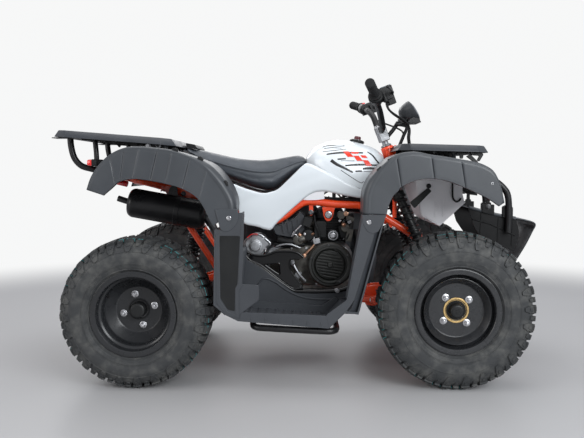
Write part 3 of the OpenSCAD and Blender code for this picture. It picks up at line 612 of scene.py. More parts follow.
def fillet(profile, r, n=4):
    """Each corner b of a line becomes (1-t)^2 p + 2t(1-t) b + t^2 q, where p and q lie r before and
    after it."""
    q = np.asarray(profile, float)
    back, on = q[:-2] - q[1:-1], q[2:] - q[1:-1]
    lb, lo = np.linalg.norm(back, axis=1)[:, None], np.linalg.norm(on, axis=1)[:, None]
    p0, p1 = q[1:-1] + back / lb * np.minimum(r, 0.45 * lb), q[1:-1] + on / lo * np.minimum(r, 0.45 * lo)
    t = np.linspace(0, 1, n)[None, :, None]
    curve = (1 - t) ** 2 * p0[:, None] + 2 * t * (1 - t) * q[1:-1][:, None] + t**2 * p1[:, None]
    return np.concatenate([q[:1], curve.reshape(-1, q.shape[1]), q[-1:]])


class Carcass:
    """The outer skin of a tyre as a smooth line of (radius, height across), measured by its length s
    from the middle of the tread."""

    def __init__(self, r, half, bead):
        """r is the radius over the blocks, half the half width, bead the half width at the rim."""
        rc, f = r - LUG, RIM_R
        side = [
            (f - 1, bead),
            (f + 5, bead + 4),
            (f + 11, 0.93 * half),
            (f + 0.32 * (rc - f), 0.985 * half),
            (f + 0.55 * (rc - f), 0.99 * half),
            (rc - 27, 0.93 * half),
            (rc - 11, 0.83 * half),
            (rc - 3, 0.66 * half),
            (rc, 0.40 * half),
            (rc + 1, 0),
        ]
        line = side + [(a, -b) for a, b in side[-2::-1]]
        self.line = smooth(line, 5)
        step = np.linalg.norm(np.diff(self.line, axis=0), axis=1)
        s = np.concatenate([[0], np.cumsum(step)])
        self.s = s[-1] / 2 - s
        along = np.gradient(self.line, axis=0)
        along /= np.linalg.norm(along, axis=1)[:, None]
        self.out = np.stack([-along[:, 1], along[:, 0]], -1)

    def at(self, s, up):
        """(radius, height) at length s, raised by up along the skin's own normal."""
        order = np.argsort(self.s)
        value = [np.interp(s, self.s[order], q[order]) for q in (*self.line.T, *self.out.T)]
        return value[0] + up * value[2], value[1] + up * value[3]

    def skin(self):
        """The closed ring of the carcass: its outer line and an inner one 11 mm inside it."""
        inner = self.line[::-4] - 11 * self.out[::-4]
        return np.concatenate([self.line, inner])


def lugs(carcass, s, lead, width, count, phase, height):
    """count blocks round a tyre. Each is a bar along a line of lengths s, its middle lead mm round the
    tread at each, width mm wide, with sides that lean in by 1.5 mm: p(n, k, e) for block n,
    station k and edge e."""
    s, lead, width = (np.broadcast_to(np.asarray(q, float), (len(s),)) for q in (s, lead, width))
    sign = np.array([-1, -1, 1, 1])
    up = np.array([-1.5, 1, 1, -1.5]) * [1, height, height, 1]
    lean = np.array([0, 1.5, 1.5, 0])
    r, y = carcass.at(s[:, None], up[None, :] * np.ones((len(s), 1)))
    r_mid = carcass.line[:, 0].max()
    turn = (lead[:, None] + sign * (width[:, None] / 2 - lean)) / r_mid
    n = np.arange(count)[:, None, None] * 2 * math.pi / count + phase
    a = turn[None] + n
    p = np.stack([r * np.cos(a), np.broadcast_to(y, a.shape), r * np.sin(a)], -1)
    one = surface(p[0], wrap_cols=True, caps=True)[1]
    m = p.shape[1] * p.shape[2]
    faces = [[v + k * m for v in face] for k in range(count) for face in one]
    return p.reshape(-1, 3), faces


def tyre_parts(centre, r, half, bead, pitches, rows):
    """A carcass with wall rings and blocks: rows of (stations, lead, width, phase, height) for one half,
    mirrored for the other."""
    c = Carcass(r, half, bead)
    parts = [lathe(c.skin(), (0, 0, 0), (0, 1, 0), 96, loop=True)]
    pitch = 2 * math.pi / pitches
    for s, lead, width, phase, height in rows:
        for side in (1, -1):
            parts.append(lugs(c, [side * q for q in s], lead, width, pitches, phase * pitch, height))
    wall = c.s.max()
    for back, up, w in ((13, 1.8, 3.0), (30, 1.1, 2.0), (34, 1.1, 2.0), (wall * 0.36, 1.3, 2.4)):
        for side in (1, -1):
            q = np.array([-w, -0.4 * w, 0.4 * w, w]) + side * (wall - back)
            radius, y = c.at(q, np.array([-0.6, up, up, -0.6]))
            parts.append(lathe(np.stack([radius, y], -1), (0, 0, 0), (0, 1, 0), 96, loop=True))
    for side in (1, -1):
        s = np.array([wall - 24.0, wall - 17.0]) * side
        parts.append(lugs(c, s, [0, 0], [3.0, 3.0], pitches * 6, 0.0, 0.9))
    return [moved(part, centre) for part in parts]


def blocks(half, r, pitches):
    """Rows of tread blocks on one half of a tyre of radius r, its tread's edge half mm out along the skin.
    A pitch holds a long shoulder block that runs down the wall, a slit and a short block."""
    pitch = 2 * math.pi * r / pitches
    long, short, slit = 0.45 * pitch, 0.29 * pitch, 0.13 * pitch
    apart = 0.5 * (long + short) / pitch + slit / pitch
    return [
        ([0.44 * half, 0.62 * half, 0.86 * half, half + 6], [0, 5, 9, 11], [0.9 * long, long, long, long],
         0.0, LUG),
        ([half + 6, half + 24, half + 40], [11, 13, 14], [long, 0.94 * long, 0.5 * long], 0.0, 5.5),
        ([0.60 * half, 0.86 * half, half + 5], [5, 9, 11], [short, short, short], apart, LUG - 0.6),
        ([half + 5, half + 20], [11, 13], [short, 0.7 * short], apart, 4.5),
        # slanting blocks of the middle, with their step
        ([0.02 * half, 0.18 * half, 0.38 * half], [-5, -3, 0], [long, 1.05 * long, long], 0.0, LUG - 0.5),
        ([0.16 * half, 0.34 * half, 0.54 * half], [-2, 1, 4], [short, short, 0.9 * short], apart, LUG - 1),
        # raised steps on the shoulder blocks
        ([half - 9, half + 1], [10, 11], [0.62 * long, 0.62 * long], 0.0, LUG + 0.8),
        ([half + 12, half + 22], [12, 13], [0.5 * long, 0.44 * long], 0.0, 6.6),
    ]


def tyre(name, node, centre, r, half, bead, pitches, body, mirror):
    """One tyre in its place."""
    rows = blocks(0.74 * half, r, pitches)
    parts = tyre_parts(centre, r, half, bead, pitches, rows)
    parts = right(parts) if mirror else parts
    piece(name, parts, body, TYRE_FRONT if "front" in name else TYRE_REAR, (node,), crease=28)


def rim_profile(half, disc, well, hub_r):
    """The closed line of a pressed rim: flanges, bead seats, drop centre and disc, 4 mm thick."""
    f, t, b = RIM_R, 4.0, RIM_R - 16.0
    return [
        (f, -half), (f, -half + t), (b, -half + t + 2), (b, -half + 26), (b - 12, -half + 34),
        (b - 12, half - 34), (b, half - 26), (b, half - t - 2), (f, half - t), (f, half), (b - t, half),
        (b - t, half - 28), (b - 12 - t, half - 36), (b - 12 - t, disc + 30), (well, disc + 2),
        (well - 3, disc), (hub_r, disc), (hub_r, disc - t), (well, disc - t), (b - 12 - t - 3, disc + 20),
        (b - 12 - t, -half + 36), (b - t, -half + 28), (b - t, -half), (f, -half),
    ]


def wheel_nuts(centre, disc, turn):
    """Four flanged nuts on their studs, on a circle round the wheel's axis."""
    r, parts = 55.0, []
    for k in range(4):
        a = turn + k * math.pi / 2
        at = np.array(centre) + [r * math.cos(a), disc, r * math.sin(a)]
        parts += hex_bolt(at, (0, 1, 0), 17, 13)
        parts.append(rod(at + [0, 12, 0], at + [0, 17, 0], 5, 12, 1))
    return parts


def valve(centre, half, angle, lean):
    """A rubber valve that stands out of the drop centre and leans to the outside."""
    a = np.array([math.cos(angle), 0, math.sin(angle)])
    foot = np.array(centre) + a * (RIM_R - 33) + [0, half - 52, 0]
    tip = foot - a * 12 + [0, lean, 0]
    return [rod(foot + a * 4, mix(foot, tip, 0.55), 5.2, 14, 1), rod(mix(foot, tip, 0.5), tip, 3.4, 12, 1)]


def mix(a, b, t):
    """The place a share t of the way from a to b."""
    return np.asarray(a, float) * (1 - t) + np.asarray(b, float) * t


def front_wheel(side):
    """Tyre, rim, hub, ring, cap, nuts and valve of a front wheel."""
    end = "left" if side > 0 else "right"
    body = "front_wheel_l" if side > 0 else "front_wheel_r"
    pick = list if side > 0 else right
    at = (FRONT_AXLE[0], FRONT_Y, FRONT_AXLE[2])
    half, disc = FRONT_HALF_W - 14, FRONT_HALF_W - 14 - 42
    tyre(f"tyre_front_{end}", f"front_tyre_{end}", at, FRONT_R - 0.5, FRONT_HALF_W - 2.5, half - 6, 25, body,
         side < 0)
    shell = [lathe(fillet(rim_profile(half, disc, 92, 34), 5), at, steps=96)]
    back = np.array(at) + [0, disc - 4, 0]
    hub = [
        lathe([(16, 3), (66, 3), (66, 22), (40, 30), (34, 30 + 22), (16, 52)], back - [0, 52, 0], steps=48),
        lathe([(88, 0), (88, 4), (30, 4), (30, 0)], back - [0, 58, 0], steps=64, loop=True),
    ]
    piece(f"wheel_front_{end}", pick(shell), body, WHEEL_PAINT, (f"front_rim_{end}",), crease=30)
    piece(f"hub_front_{end}", pick(hub), body, DARK_STEEL)
    face = np.array(at) + [0, disc, 0]
    ring = [lathe(fillet([(36, -1), (36, 2.6), (42.5, 2.6), (42.5, -1), (36, -1)], 1), face, steps=64)]
    piece(f"hub_ring_front_{end}", pick(ring), body, ZINC_GOLD)
    cap = [
        lathe(fillet([(0.3, 29), (18, 29), (23.5, 25), (24.5, -2)], 3), face, steps=48),
        lathe([(33, -6), (33, 2.5), (25, 1.5), (24, -6)], face, steps=48, loop=True),
        lathe([(0.3, 30.2), (7, 30.2), (8, 28.5)], face, steps=6),
    ]
    piece(f"hub_cap_front_{end}", pick(cap), body, BLACK_PLASTIC)
    piece(f"wheel_nuts_front_{end}", pick(wheel_nuts(at, disc, math.radians(40))), body, STEEL)
    piece(f"valve_front_{end}", pick(valve(at, half, math.radians(177), 16)), body, RUBBER)


def rear_wheel(side):
    """Tyre, rim, cap, nuts and valve of a rear wheel."""
    end = "left" if side > 0 else "right"
    body = "rear_axle_wheels"
    pick = list if side > 0 else right
    at = (REAR_AXLE[0], REAR_Y, REAR_AXLE[2])
    half, disc = REAR_HALF_W - 15, REAR_HALF_W - 15 - 98
    tyre(f"tyre_rear_{end}", f"rear_tyre_{end}", at, REAR_R, REAR_HALF_W, half - 6, 24, body, side < 0)
    shell = [lathe(fillet(rim_profile(half, disc, 80, 34), 5), at, steps=96)]
    stands = ("rear_rims",) if side > 0 else ()
    piece(f"wheel_rear_{end}", pick(shell), body, WHEEL_PAINT, stands, crease=30)
    face = np.array(at) + [0, disc, 0]
    cap = [
        lathe(fillet([(0.3, 34), (20, 34), (27, 30), (28, -4)], 4), face, steps=48),
        lathe([(35.5, -3), (35.5, 3.0), (32, 3.0), (31, -3)], face, steps=48, loop=True),
    ]
    piece(f"hub_cap_rear_{end}", pick(cap), body, BLACK_PLASTIC)
    piece(f"wheel_nuts_rear_{end}", pick(wheel_nuts(at, disc, math.radians(14))), body, STEEL)
    piece(f"valve_rear_{end}", pick(valve(at, half, math.radians(150), 15)), body, RUBBER)



for side in (1, -1):
    front_wheel(side)
    rear_wheel(side)


# ---------- mudguards ----------


GUARD_LIP = 12
GROOVE_WIDTH = 2.1


def guard_skin(sections, grooves, y_out, border):
    """A mudguard's skin. Sections of (top, low, inner y) are carried along smooth curves. Across each, the
    skin runs from the inner y over the top, round a corner, down the side and into a turned-in lip. The
    side lies recess mm behind the band along its upper edge: border gives stations, and the corner, band
    and recess there.
    Grooves are narrow hollows d exp(-(s/w)^2) at their stations along the row of sections."""
    n = len(sections)
    top = smooth([s[0] for s in sections], 10)
    low = smooth([s[1] for s in sections], 10)
    reach = smooth([[s[2], 0] for s in sections], 10)[:, 0]
    station = np.linspace(0, n - 1, len(top))
    mid = (top + low) / 2
    s = np.concatenate([[0], np.cumsum(np.linalg.norm(np.diff(mid, axis=0), axis=1))])
    at_groove = np.interp([g[0] for g in grooves], station, s)
    extra = (at_groove[:, None] + np.linspace(-2.2, 2.2, 9)[None, :] * GROOVE_WIDTH).ravel()
    every = np.unique(np.concatenate([np.linspace(0, s[-1], 90), extra[(extra > 0) & (extra < s[-1])]]))
    pick = [np.interp(every, s, q) for q in (*top.T, *low.T, reach)]
    top, low, reach = np.stack(pick[0:2], -1), np.stack(pick[2:4], -1), pick[4]
    h = np.linalg.norm(low - top, axis=1)[:, None]
    here = np.interp(every, s, station)
    corner, band, recess = (np.interp(here, border[0], q)[:, None] for q in border[1:])
    r = np.minimum(corner, 0.35 * h)
    a = np.linspace(0, math.pi / 2, 7)[None, :]
    cols_top = reach[:, None] + (y_out - r - reach[:, None]) * np.linspace(0, 1, 9)[None, :-1]
    band_at = np.minimum(band, 0.3 * h)
    down = np.linspace(0, 1, 12)[None, :]
    side_depth = band_at + 3 + (h - band_at - 3) * down
    hollow = sum(
        g[1] * np.exp(-(((every - c) / GROOVE_WIDTH) ** 2)) for g, c in zip(grooves, at_groove)
    )[:, None] if len(grooves) else 0.0
    ease = np.clip((side_depth - band_at) / 8, 0, 1) * np.clip((h - side_depth) / 3 + 0.3, 0, 1)
    y = np.concatenate(
        [
            cols_top,
            y_out - r + r * np.sin(a),
            np.broadcast_to(y_out, band_at.shape),
            y_out - recess - hollow * ease,
            y_out - recess - 3 + 0 * h,
            y_out - recess - GUARD_LIP + 0 * h,
        ],
        1,
    )
    depth = np.concatenate(
        [
            0 * cols_top + 2.0 * (1 - np.linspace(0, 1, 9)[None, :-1]),
            r - r * np.cos(a),
            band_at,
            side_depth,
            h + 0.8,
            h + 0.8,
        ],
        1,
    )
    share = depth / h
    xz = top[:, None] * (1 - share[..., None]) + low[:, None] * share[..., None]
    return np.stack([xz[..., 0], y, xz[..., 1]], -1)


REAR_GUARD = [
    [(-658, 663), (-603, 645), 165], [(-643, 704), (-592, 655), 165], [(-618, 742), (-577, 667), 165],
    [(-580, 777), (-563, 680), 165], [(-532, 799), (-546, 692), 165], [(-480, 803), (-503, 700), 165],
    [(-422, 798), (-447, 694), 165], [(-374, 791), (-397, 684), 165], [(-316, 772), (-343, 668), 175],
    [(-268, 753), (-296, 640), 190], [(-233, 726), (-272, 606), 210], [(-197, 681), (-255, 572), 240],
    [(-171, 632), (-245, 552), 300], [(-166, 592), (-240, 546), 345],
]
REAR_GROOVES = [(3, 1.4), (4, 2.6), (5, -1.3), (6, 3.2), (7, -1.3), (8, 3.2), (9.3, -1.2)]
REAR_BORDER = ([0, 8, 10, 13], [13, 13, 26, 26], [5, 5, 22, 22], [1.0, 1.0, 3.6, 3.6])
FRONT_GUARD = [
    [(250, 581), (324, 581), 330], [(251, 615), (327, 598), 325], [(254, 650), (333, 618), 318],
    [(272, 697), (346, 644), 300], [(314, 744), (362, 661), 262], [(357, 776), (373, 674), 225],
    [(412, 786), (425, 696), 95], [(470, 776), (481, 700), 2], [(520, 769), (533, 690), 2],
    [(567, 761), (582, 670), 2], [(606, 754), (612, 657), 2], [(642, 743), (640, 644), 20],
    [(675, 720), (668, 628), 90], [(697, 672), (684, 617), 180], [(708, 622), (693, 611), 240],
]
FRONT_GROOVES = [(5, 5.0), (7, 5.0), (9, 5.0)]
FRONT_BORDER = ([0, 3, 5, 12, 14], [22, 22, 12, 12, 10], [16, 16, 4, 4, 4], [3.0, 3.0, 0.8, 0.8, 0.8])


def mudguards():
    """Both pairs of mudguards, with the bridge, tabs, clips and screws."""
    rear = surface(guard_skin(REAR_GUARD, REAR_GROOVES, BODY_Y - 1.6, REAR_BORDER))
    front = surface(guard_skin(FRONT_GUARD, FRONT_GROOVES, BODY_Y - 1.6, FRONT_BORDER))
    bridge = slab([(-654, 742), (-560, 772), (-500, 787), (-420, 789), (-379, 802), (-379, 798), (-420, 785),
                   (-500, 783), (-560, 768), (-654, 738)], -167, 167)
    piece("mudguards_rear", both([rear]), "chassis", CHARCOAL, ("rear_mudguards",), wall=3.2)
    piece("mudguard_bridge", [bridge], "chassis", CHARCOAL, edge=1.2)
    piece("mudguards_front", both([front]), "chassis", CHARCOAL, ("front_mudguards",), wall=3.2)
    tab = fillet([(-236, 598), (-161, 600), (-157, 575), (-164, 550), (-186, 528), (-206, 524), (-219, 533),
                  (-236, 598)], 9)
    piece("mudguard_tabs", both([slab(tab[:-1], BODY_Y - 5, BODY_Y + 1)]), "chassis", CHARCOAL, edge=1.6)
    clips = []
    for x, z, lean in ((-366, 796, 6), (-283, 768, 28), (-200, 688, 58)):
        turn = pitched(lean)
        clips.append(block((x, BODY_Y - 14, z - 4), (20, 9, 8), turn))
        clips.append(block((x + 1, BODY_Y - 14, z - 1), (12, 6, 8), turn))
    for x, z, lean in ((301, 735, -44), (337, 766, -28)):
        clips.append(block((x, BODY_Y - 14, z - 4), (18, 9, 8), pitched(lean)))
    piece("mudguard_clips", both(clips), "chassis", BLACK_PLASTIC, edge=1.0)
    screws = []
    for x, z, y in ((-190, 570, BODY_Y + 1), (268, 557, BODY_Y + 1), (668, 684, BODY_Y - 4)):
        screws += dome_screw((x, y, z), (0, 1, 0), 8.5 if z < 600 else 6, 3.4)
    piece("panel_screws", both(screws), "chassis", STEEL)


# ---------- footwells ----------

WELL_Y = 230.0
FOOT_Z = 225.0
STRUT_W = 70.0


def footwell():
    """The walls of one footwell, drawn on the left: floor, inner wall, rear and front struts."""
    y0, y1, t, f = WELL_Y, BODY_Y, 4.0, FOOT_Z
    walls = [
        slab([(-205, f + 26), (-162, f + 4), (138, f - 20), (188, f + 34), (186, f + 41), (136, f - 14),
              (-160, f + 10), (-202, f + 32)], y0, y1),
        slab([(-218, 532), (-203, f + 27), (-162, f + 4), (138, f - 20), (186, f + 32), (236, f + 30),
              (262, 330), (190, 296), (56, 290), (20, 292), (-13, 313), (-52, 341), (-98, 376), (-144, 402),
              (-176, 450),
              (-190, 532)], y0, y0 + t),
        slab([(-238, 532), (-243, 283), (-205, f + 26), (-201, f + 30), (-238, 284), (-233, 532)], y0, y1),
        slab([(-156, 353), (-144, 588), (-149, 588), (-161, 353)], y1 - STRUT_W, y1),
        slab([(186, f + 34), (236, f + 27), (323, 579), (318, 579), (232, f + 34), (186, f + 40)], y0, y1),
        slab([(248, 579), (196, 300), (201, 300), (253, 579)], y1 - STRUT_W, y1),
    ]
    # outer faces: the rear strut with its sunk panel, the sill and the front strut
    rear = fillet([(-236, 533), (-242, 283), (-204, f + 26), (-162, f + 4), (-152, f + 30), (-92, f + 75),
                   (-92, 349), (-156, 353), (-144, 588), (-162, 588), (-164, 578), (-174, 553), (-196, 528),
                   (-236, 533)], 4)[:-1]
    front = fillet([(138, f - 20), (190, f + 30), (222, 300), (282, 500), (300, 579), (248, 579), (196, 300),
                    (130, f + 26), (138, f - 20)], 4)[:-1]
    sill = [(-162, f + 4), (138, f - 20), (150, f + 22), (-150, f + 34)]
    walls += [slab(rear, y1 - t, y1 - 0.5), slab(front, y1 - t, y1 - 0.5), slab(sill, y1 - t, y1 - 1)]
    # raised frame round the rear strut's panel, and the bevelled flank of each strut
    frame_line = [(-233, 520), (-221, 520), (-221, 300), (-196, f + 36), (-170, f + 26), (-170, 340),
                  (-160, 352), (-150, 560), (-140, 560), (-148, 345), (-158, 333), (-158, f + 14),
                  (-201, f + 24),
                  (-233, 292)]
    walls.append(slab(frame_line, y1 - 1, y1 + 1.2))
    crease_line = smooth([(190, f + 30), (206, f + 42), (222, 300), (282, 500), (300, 579)], 4)
    edge_line = smooth([(224, f + 24), (240, f + 32), (252, 300), (304, 500), (323, 579)], 4)
    across = [(crease_line, y1 + 1.0), (edge_line, y1 - 26), (edge_line, y1 - 30), (crease_line, y1 - 5)]
    walls.append(loft(np.stack([at_y(q, y) for q, y in across], 1)))
    tab = fillet([(246, 581), (326, 581), (300, 527), (281, 519), (262, 527), (247, 556), (246, 581)], 6)[:-1]
    walls.append(slab(tab, y1 - 1, y1 + 1.0))
    # ribs of the sill and of the floor
    for x in np.linspace(-118, 112, 6):
        z = f + 8 - (x + 162) * 24 / 300
        walls.append(block((x, y1 - 2, z + 6), (4, 5, 20), pitched(4)))
    for x in np.linspace(-130, 110, 9):
        z = f + 9.5 - (x + 160) * 24 / 296
        walls.append(block((x, (y0 + y1) / 2, z), (9, y1 - y0 - 30, 9), pitched(4.6)))
    # pegs at the sill and the step between floor and inner wall
    for x in (-60, 40, 104):
        z = f + 14 - (x + 160) * 24 / 296
        walls.append(block((x, y1 - 16, z + 8), (9, 16, 24)))
        walls.append(block((x + 16, y1 - 16, z + 6), (5, 16, 20)))
    walls.append(slab([(-160, f + 8), (136, f - 16), (180, f + 34), (170, 272), (120, 240), (-140, 262)],
                      y0, y0 + 16))
    return walls


def well_corner():
    """The curved sheet between the inner wall and the rear strut: a quarter turn at each height."""
    a = np.linspace(0, math.pi / 2, 9)[None, :]
    z = np.linspace(FOOT_Z + 20, 452, 14)[:, None]
    r = 62 + 22 * (z - FOOT_Z) / 220
    x = -232 + r * (1 - np.sin(a)) + 0 * z
    y = WELL_Y + 3 + r * (1 - np.cos(a)) + 0 * z
    return surface(np.stack([x, y, z + 0 * a], -1))


def footwells():
    """Both footwells, with their corners, sunk panels, rims (partly painted shade), steps and bolts."""
    parts = footwell()
    piece("footwell_panel_left", parts, "chassis", WELL_PLASTIC, ("footwell_left",), edge=1.6)
    piece("footwell_panel_right", right(parts), "chassis", WELL_PLASTIC, ("footwell_right",), edge=1.6)
    piece("footwell_corners", both([well_corner()]), "chassis", WELL_PLASTIC, wall=3)
    sunk = fillet([(-221, 512), (-219, 306), (-196, 268), (-172, 262), (-171, 338), (-163, 352), (-154, 512),
                   (-221, 512)], 5)[:-1]
    piece("strut_panels", both([slab(sunk, BODY_Y - 3, BODY_Y + 0.4)]), "chassis", BLACK_PLASTIC, edge=0.8)
    bolts = []
    for x, z in ((-126, 262), (176, 296)):
        bolts += hex_bolt((x, WELL_Y + 17, z), (0, 1, 0), 12, 5)
    # gloss black rim along each inner wall's top edge, widening to the front: partly the wall's rolled lip,
    # partly painted shade for the dark band along that edge
    rim = smooth([(-144, WELL_Y - 2, 402), (-98, WELL_Y - 2, 376), (-52, WELL_Y - 2, 341),
                  (-13, WELL_Y - 2, 313), (22, WELL_Y - 2, 291), (60, WELL_Y - 2, 288),
                  (130, WELL_Y - 2, 289), (196, WELL_Y - 2, 296),
                  (250, WELL_Y - 2, 322)], 5)
    piece("footwell_rims_and_shade", both([tube(rim, np.linspace(4, 10, len(rim)), 12)]), "chassis", GLOSS_BLACK)
    step = smooth([(-128, WELL_Y + 5, 250), (-116, WELL_Y + 5, 300), (-90, WELL_Y + 5, 336),
                   (-50, WELL_Y + 5, 326), (0, WELL_Y + 5, 292), (60, WELL_Y + 5, 268),
                   (140, WELL_Y + 5, 262),
                   (214, WELL_Y + 5, 268)], 5)
    piece("footwell_wall_steps", both([tube(step, 3.0, 10)]), "chassis", WELL_PLASTIC)
    piece("footwell_bolts", both(bolts), "chassis", STEEL)


mudguards()
footwells()


# ---------- frame and suspension ----------


def ringed(outer, inner, y0, y1):
    """A plate with one opening: its outer and inner edges, with as many points each, between two y."""
    o, i = np.asarray(outer, float), np.asarray(inner, float)
    loops = [(o, y0), (o, y1), (i, y1), (i, y0)]
    p = np.stack([at_y(q, y) for q, y in loops])
    return surface(p, wrap_rows=True, wrap_cols=True)


def rounded(outline, r, n=4):
    """A closed outline with each corner turned into a curve."""
    q = np.asarray(outline, float)
    return fillet(np.concatenate([q[-1:], q, q[:1]]), r, n)[1:-1]


def ball(centre, r):
    """A sphere: radius r cos b, height r sin b."""
    b = np.linspace(-math.pi / 2 + 0.05, math.pi / 2 - 0.05, 10)
    return lathe(np.stack([r * np.cos(b), r * np.sin(b)], -1), centre, (0, 1, 0), 20)


RAIL = pts(
    (-650, 128, 716), (-585, 128, 697), (-470, 132, 668), (-366, 138, 634), (-230, 150, 590), (-90, 150, 546),
    (-50, 150, 542), (-10, 150, 562), (25, 150, 590), (60, 150, 610), (100, 150, 611), (180, 150, 602),
    (270, 150, 597), (310, 150, 582), (362, 150, 551), (471, 150, 484), (560, 120, 425), (600, 108, 398),
    (640, 100, 376),
)
LOWER = pts(
    (-232, 150, 545), (-240, 150, 420), (-238, 150, 330), (-225, 150, 276), (-190, 150, 252),
    (-120, 150, 250), (120, 150, 250), (300, 150, 250), (380, 150, 254), (470, 132.5, 262), (560, 110, 270),
    (602, 99.5, 296), (624, 94, 338),
)


def bead(centre, axis, r, wire=2.2):
    """A weld bead: a thin rippled ring round a tube."""
    a = np.linspace(0, 2 * math.pi, 72, endpoint=False)
    local = np.stack([r * np.cos(a), r * np.sin(a), 0 * a], -1) @ facing(axis).T + np.asarray(centre, float)
    return tube(local, wire * (1 + 0.18 * np.sin(a * 24)), 6, closed=True)


def frame_pieces():
    """Rails, weld beads, gussets, bolts and the taped wiring."""
    piece("smooth_top_rails", both([tube(smooth(RAIL, 5), 14, 18)]), "chassis", PAINT, ("top_rails",))
    piece("smooth_lower_rails", both([tube(smooth(LOWER, 6), 14, 18)]), "chassis", PAINT, ("lower_rails",))
    beads = [
        bead((-466, 133, 657), (0.5, 0, -0.8), 12), bead((-239, 142, 342), (0.4, 0, -0.9), 13),
        bead((344, 148, 574), (0.2, -0.6, 0.75), 12), bead((60, 142, 250), (0, 1, 0), 12),
        bead((300, 142, 250), (0, 1, 0), 12), bead((362, 142, 551), (0, 1, 0), 12),
    ]
    gussets = [
        slab(rounded([(-458, 672), (-400, 662), (-362, 650), (-356, 628), (-384, 622), (-454, 640)], 8), 146,
             153),
        slab(rounded([(-474, 672), (-420, 656), (-424, 641), (-470, 650)], 6), 138, 146),
        slab(rounded([(-232, 532), (-206, 470), (-236, 420), (-240, 520)], 8), 146, 150),
        slab(rounded([(366, 560), (402, 538), (398, 505), (372, 520)], 7), 147, 151),
        # small tab under the rail, ahead of the seat
        slab(rounded([(76, 604), (91, 604), (91, 566), (83, 558), (76, 566)], 5), 147, 151),
        # plates that carry the lower arms
        slab(rounded([(282, 258), (332, 262), (342, 232), (318, 224), (286, 228)], 6), 150, 154),
        slab(rounded([(282, 292), (322, 296), (330, 258), (284, 256)], 5), 134, 138),
    ]
    piece("frame_gussets", both(beads + gussets), "chassis", PAINT, edge=0.8)
    ends = [rod((-650, 128, 716), (-656, 128, 717.8), 15, 20, 1.0),
            rod((-597, 144, 676), (-640, 144, 686), 11, 18, 3)]
    piece("rail_plugs", both(ends), "chassis", LAMP_RED)
    bolts = []
    for x, z, y in ((-433, 656, 153), (-389, 641, 153), (83, 572, 151), (318, 240, 154)):
        bolts += hex_bolt((x, y, z), (0, 1, 0), 13, 7)
    piece("frame_bolts", both(bolts), "chassis", DARK_STEEL)
    bright = []
    for x, z, y in ((391, 516, 151), (-222, 478, 150)):
        bright += hex_bolt((x, y, z), (0, 1, 0), 12, 6)
    piece("frame_bright_bolts", both(bright), "chassis", STEEL)
    # main wiring along the right rail, taped to it
    along = smooth([(-140, 133, 572), (-60, 130, 562), (30, 134, 606), (90, 136, 628), (150, 137, 622),
                    (232, 138, 618), (290, 130, 610), (360, 100, 600)], 8)
    loops = [
        tube(along, 7, 10),
        tube(smooth([(118, 150, 624), (132, 152, 642), (156, 152, 652), (182, 150, 640), (196, 148, 622)],
                    6), 3.2, 8),
        tube(smooth([(186, 146, 622), (212, 150, 634), (226, 152, 652), (244, 150, 640), (280, 148, 622)],
                    6), 4.6, 8),
        block((168, 147, 640), (13, 10, 26)),
        block((214, 147, 640), (34, 14, 11), pitched(-28)),
        block((236, 147, 634), (26, 13, 9), pitched(24)),
    ]
    bands = [bead(p, (1, 0, 0.1), 9, 1.6) for p in ((30, 134, 606), (150, 137, 622), (-60, 130, 562))]
    piece("wiring_loom", right(loops + bands), "chassis", RUBBER)


SHOCK_TOP = np.array([392.0, 178, 660])
KINGPIN_Y = 346.0


def shock_parts(a, b, r, wire, turns):
    """A damper: eyes, dust tube, rod, spring seats and the coil between them."""
    a, b = np.array(a, float), np.array(b, float)
    d = (b - a) / np.linalg.norm(b - a)
    n = np.linalg.norm(b - a)
    dark = [
        rod(a + 12 * d, a + 0.52 * n * d, 0.62 * r, 20, 2),
        rod(a + 0.5 * n * d, b - 14 * d, 0.30 * r, 16),
        rod(a + 28 * d, a + 38 * d, 0.98 * r, 24, 2),
    ]
    paint = [
        rod(a + 14 * d, a + 30 * d, 0.90 * r, 24, 3),
        coil(a + 38 * d, b - 42 * d, 0.80 * r, wire, turns),
        rod(b - 42 * d, b - 32 * d, 0.95 * r, 24, 2),
    ]
    eyes = []
    for e in (a, b):
        eyes.append(lathe([(7, -11), (14, -11), (15, -9), (15, 9), (14, 11), (7, 11)], e, (0, 1, 0), 24,
                          loop=True))
    steel = []
    for e in (a, b):
        steel += [rod(e - [0, 15, 0], e + [0, 15, 0], 6.5, 16, 1)]
        steel += hex_bolt(e + [0, 14, 0], (0, 1, 0), 14, 6)
    return dark, paint + eyes, steel


def arm(ball_at, rise, rear_foot, front_foot):
    """A wishbone: two legs that curve into one ahead of the ball joint, with a sleeve at each foot and at the
    ball joint.
    """
    apex = ball_at - [0, 82, -rise * 82]
    parts = []
    for foot in (rear_foot, front_foot):
        parts.append(tube(smooth([foot, mix(foot, apex, 0.5), mix(foot, apex, 0.86), mix(apex, ball_at, 0.3),
                                  mix(apex, ball_at, 0.93)], 6), 12, 16))
        parts.append(rod(foot - [15, 0, 0], foot + [15, 0, 0], 15, 20, 2))
    parts.append(rod(ball_at - [0, 0, 13], ball_at + [0, 0, 13], 15.5, 24, 3))
    return parts


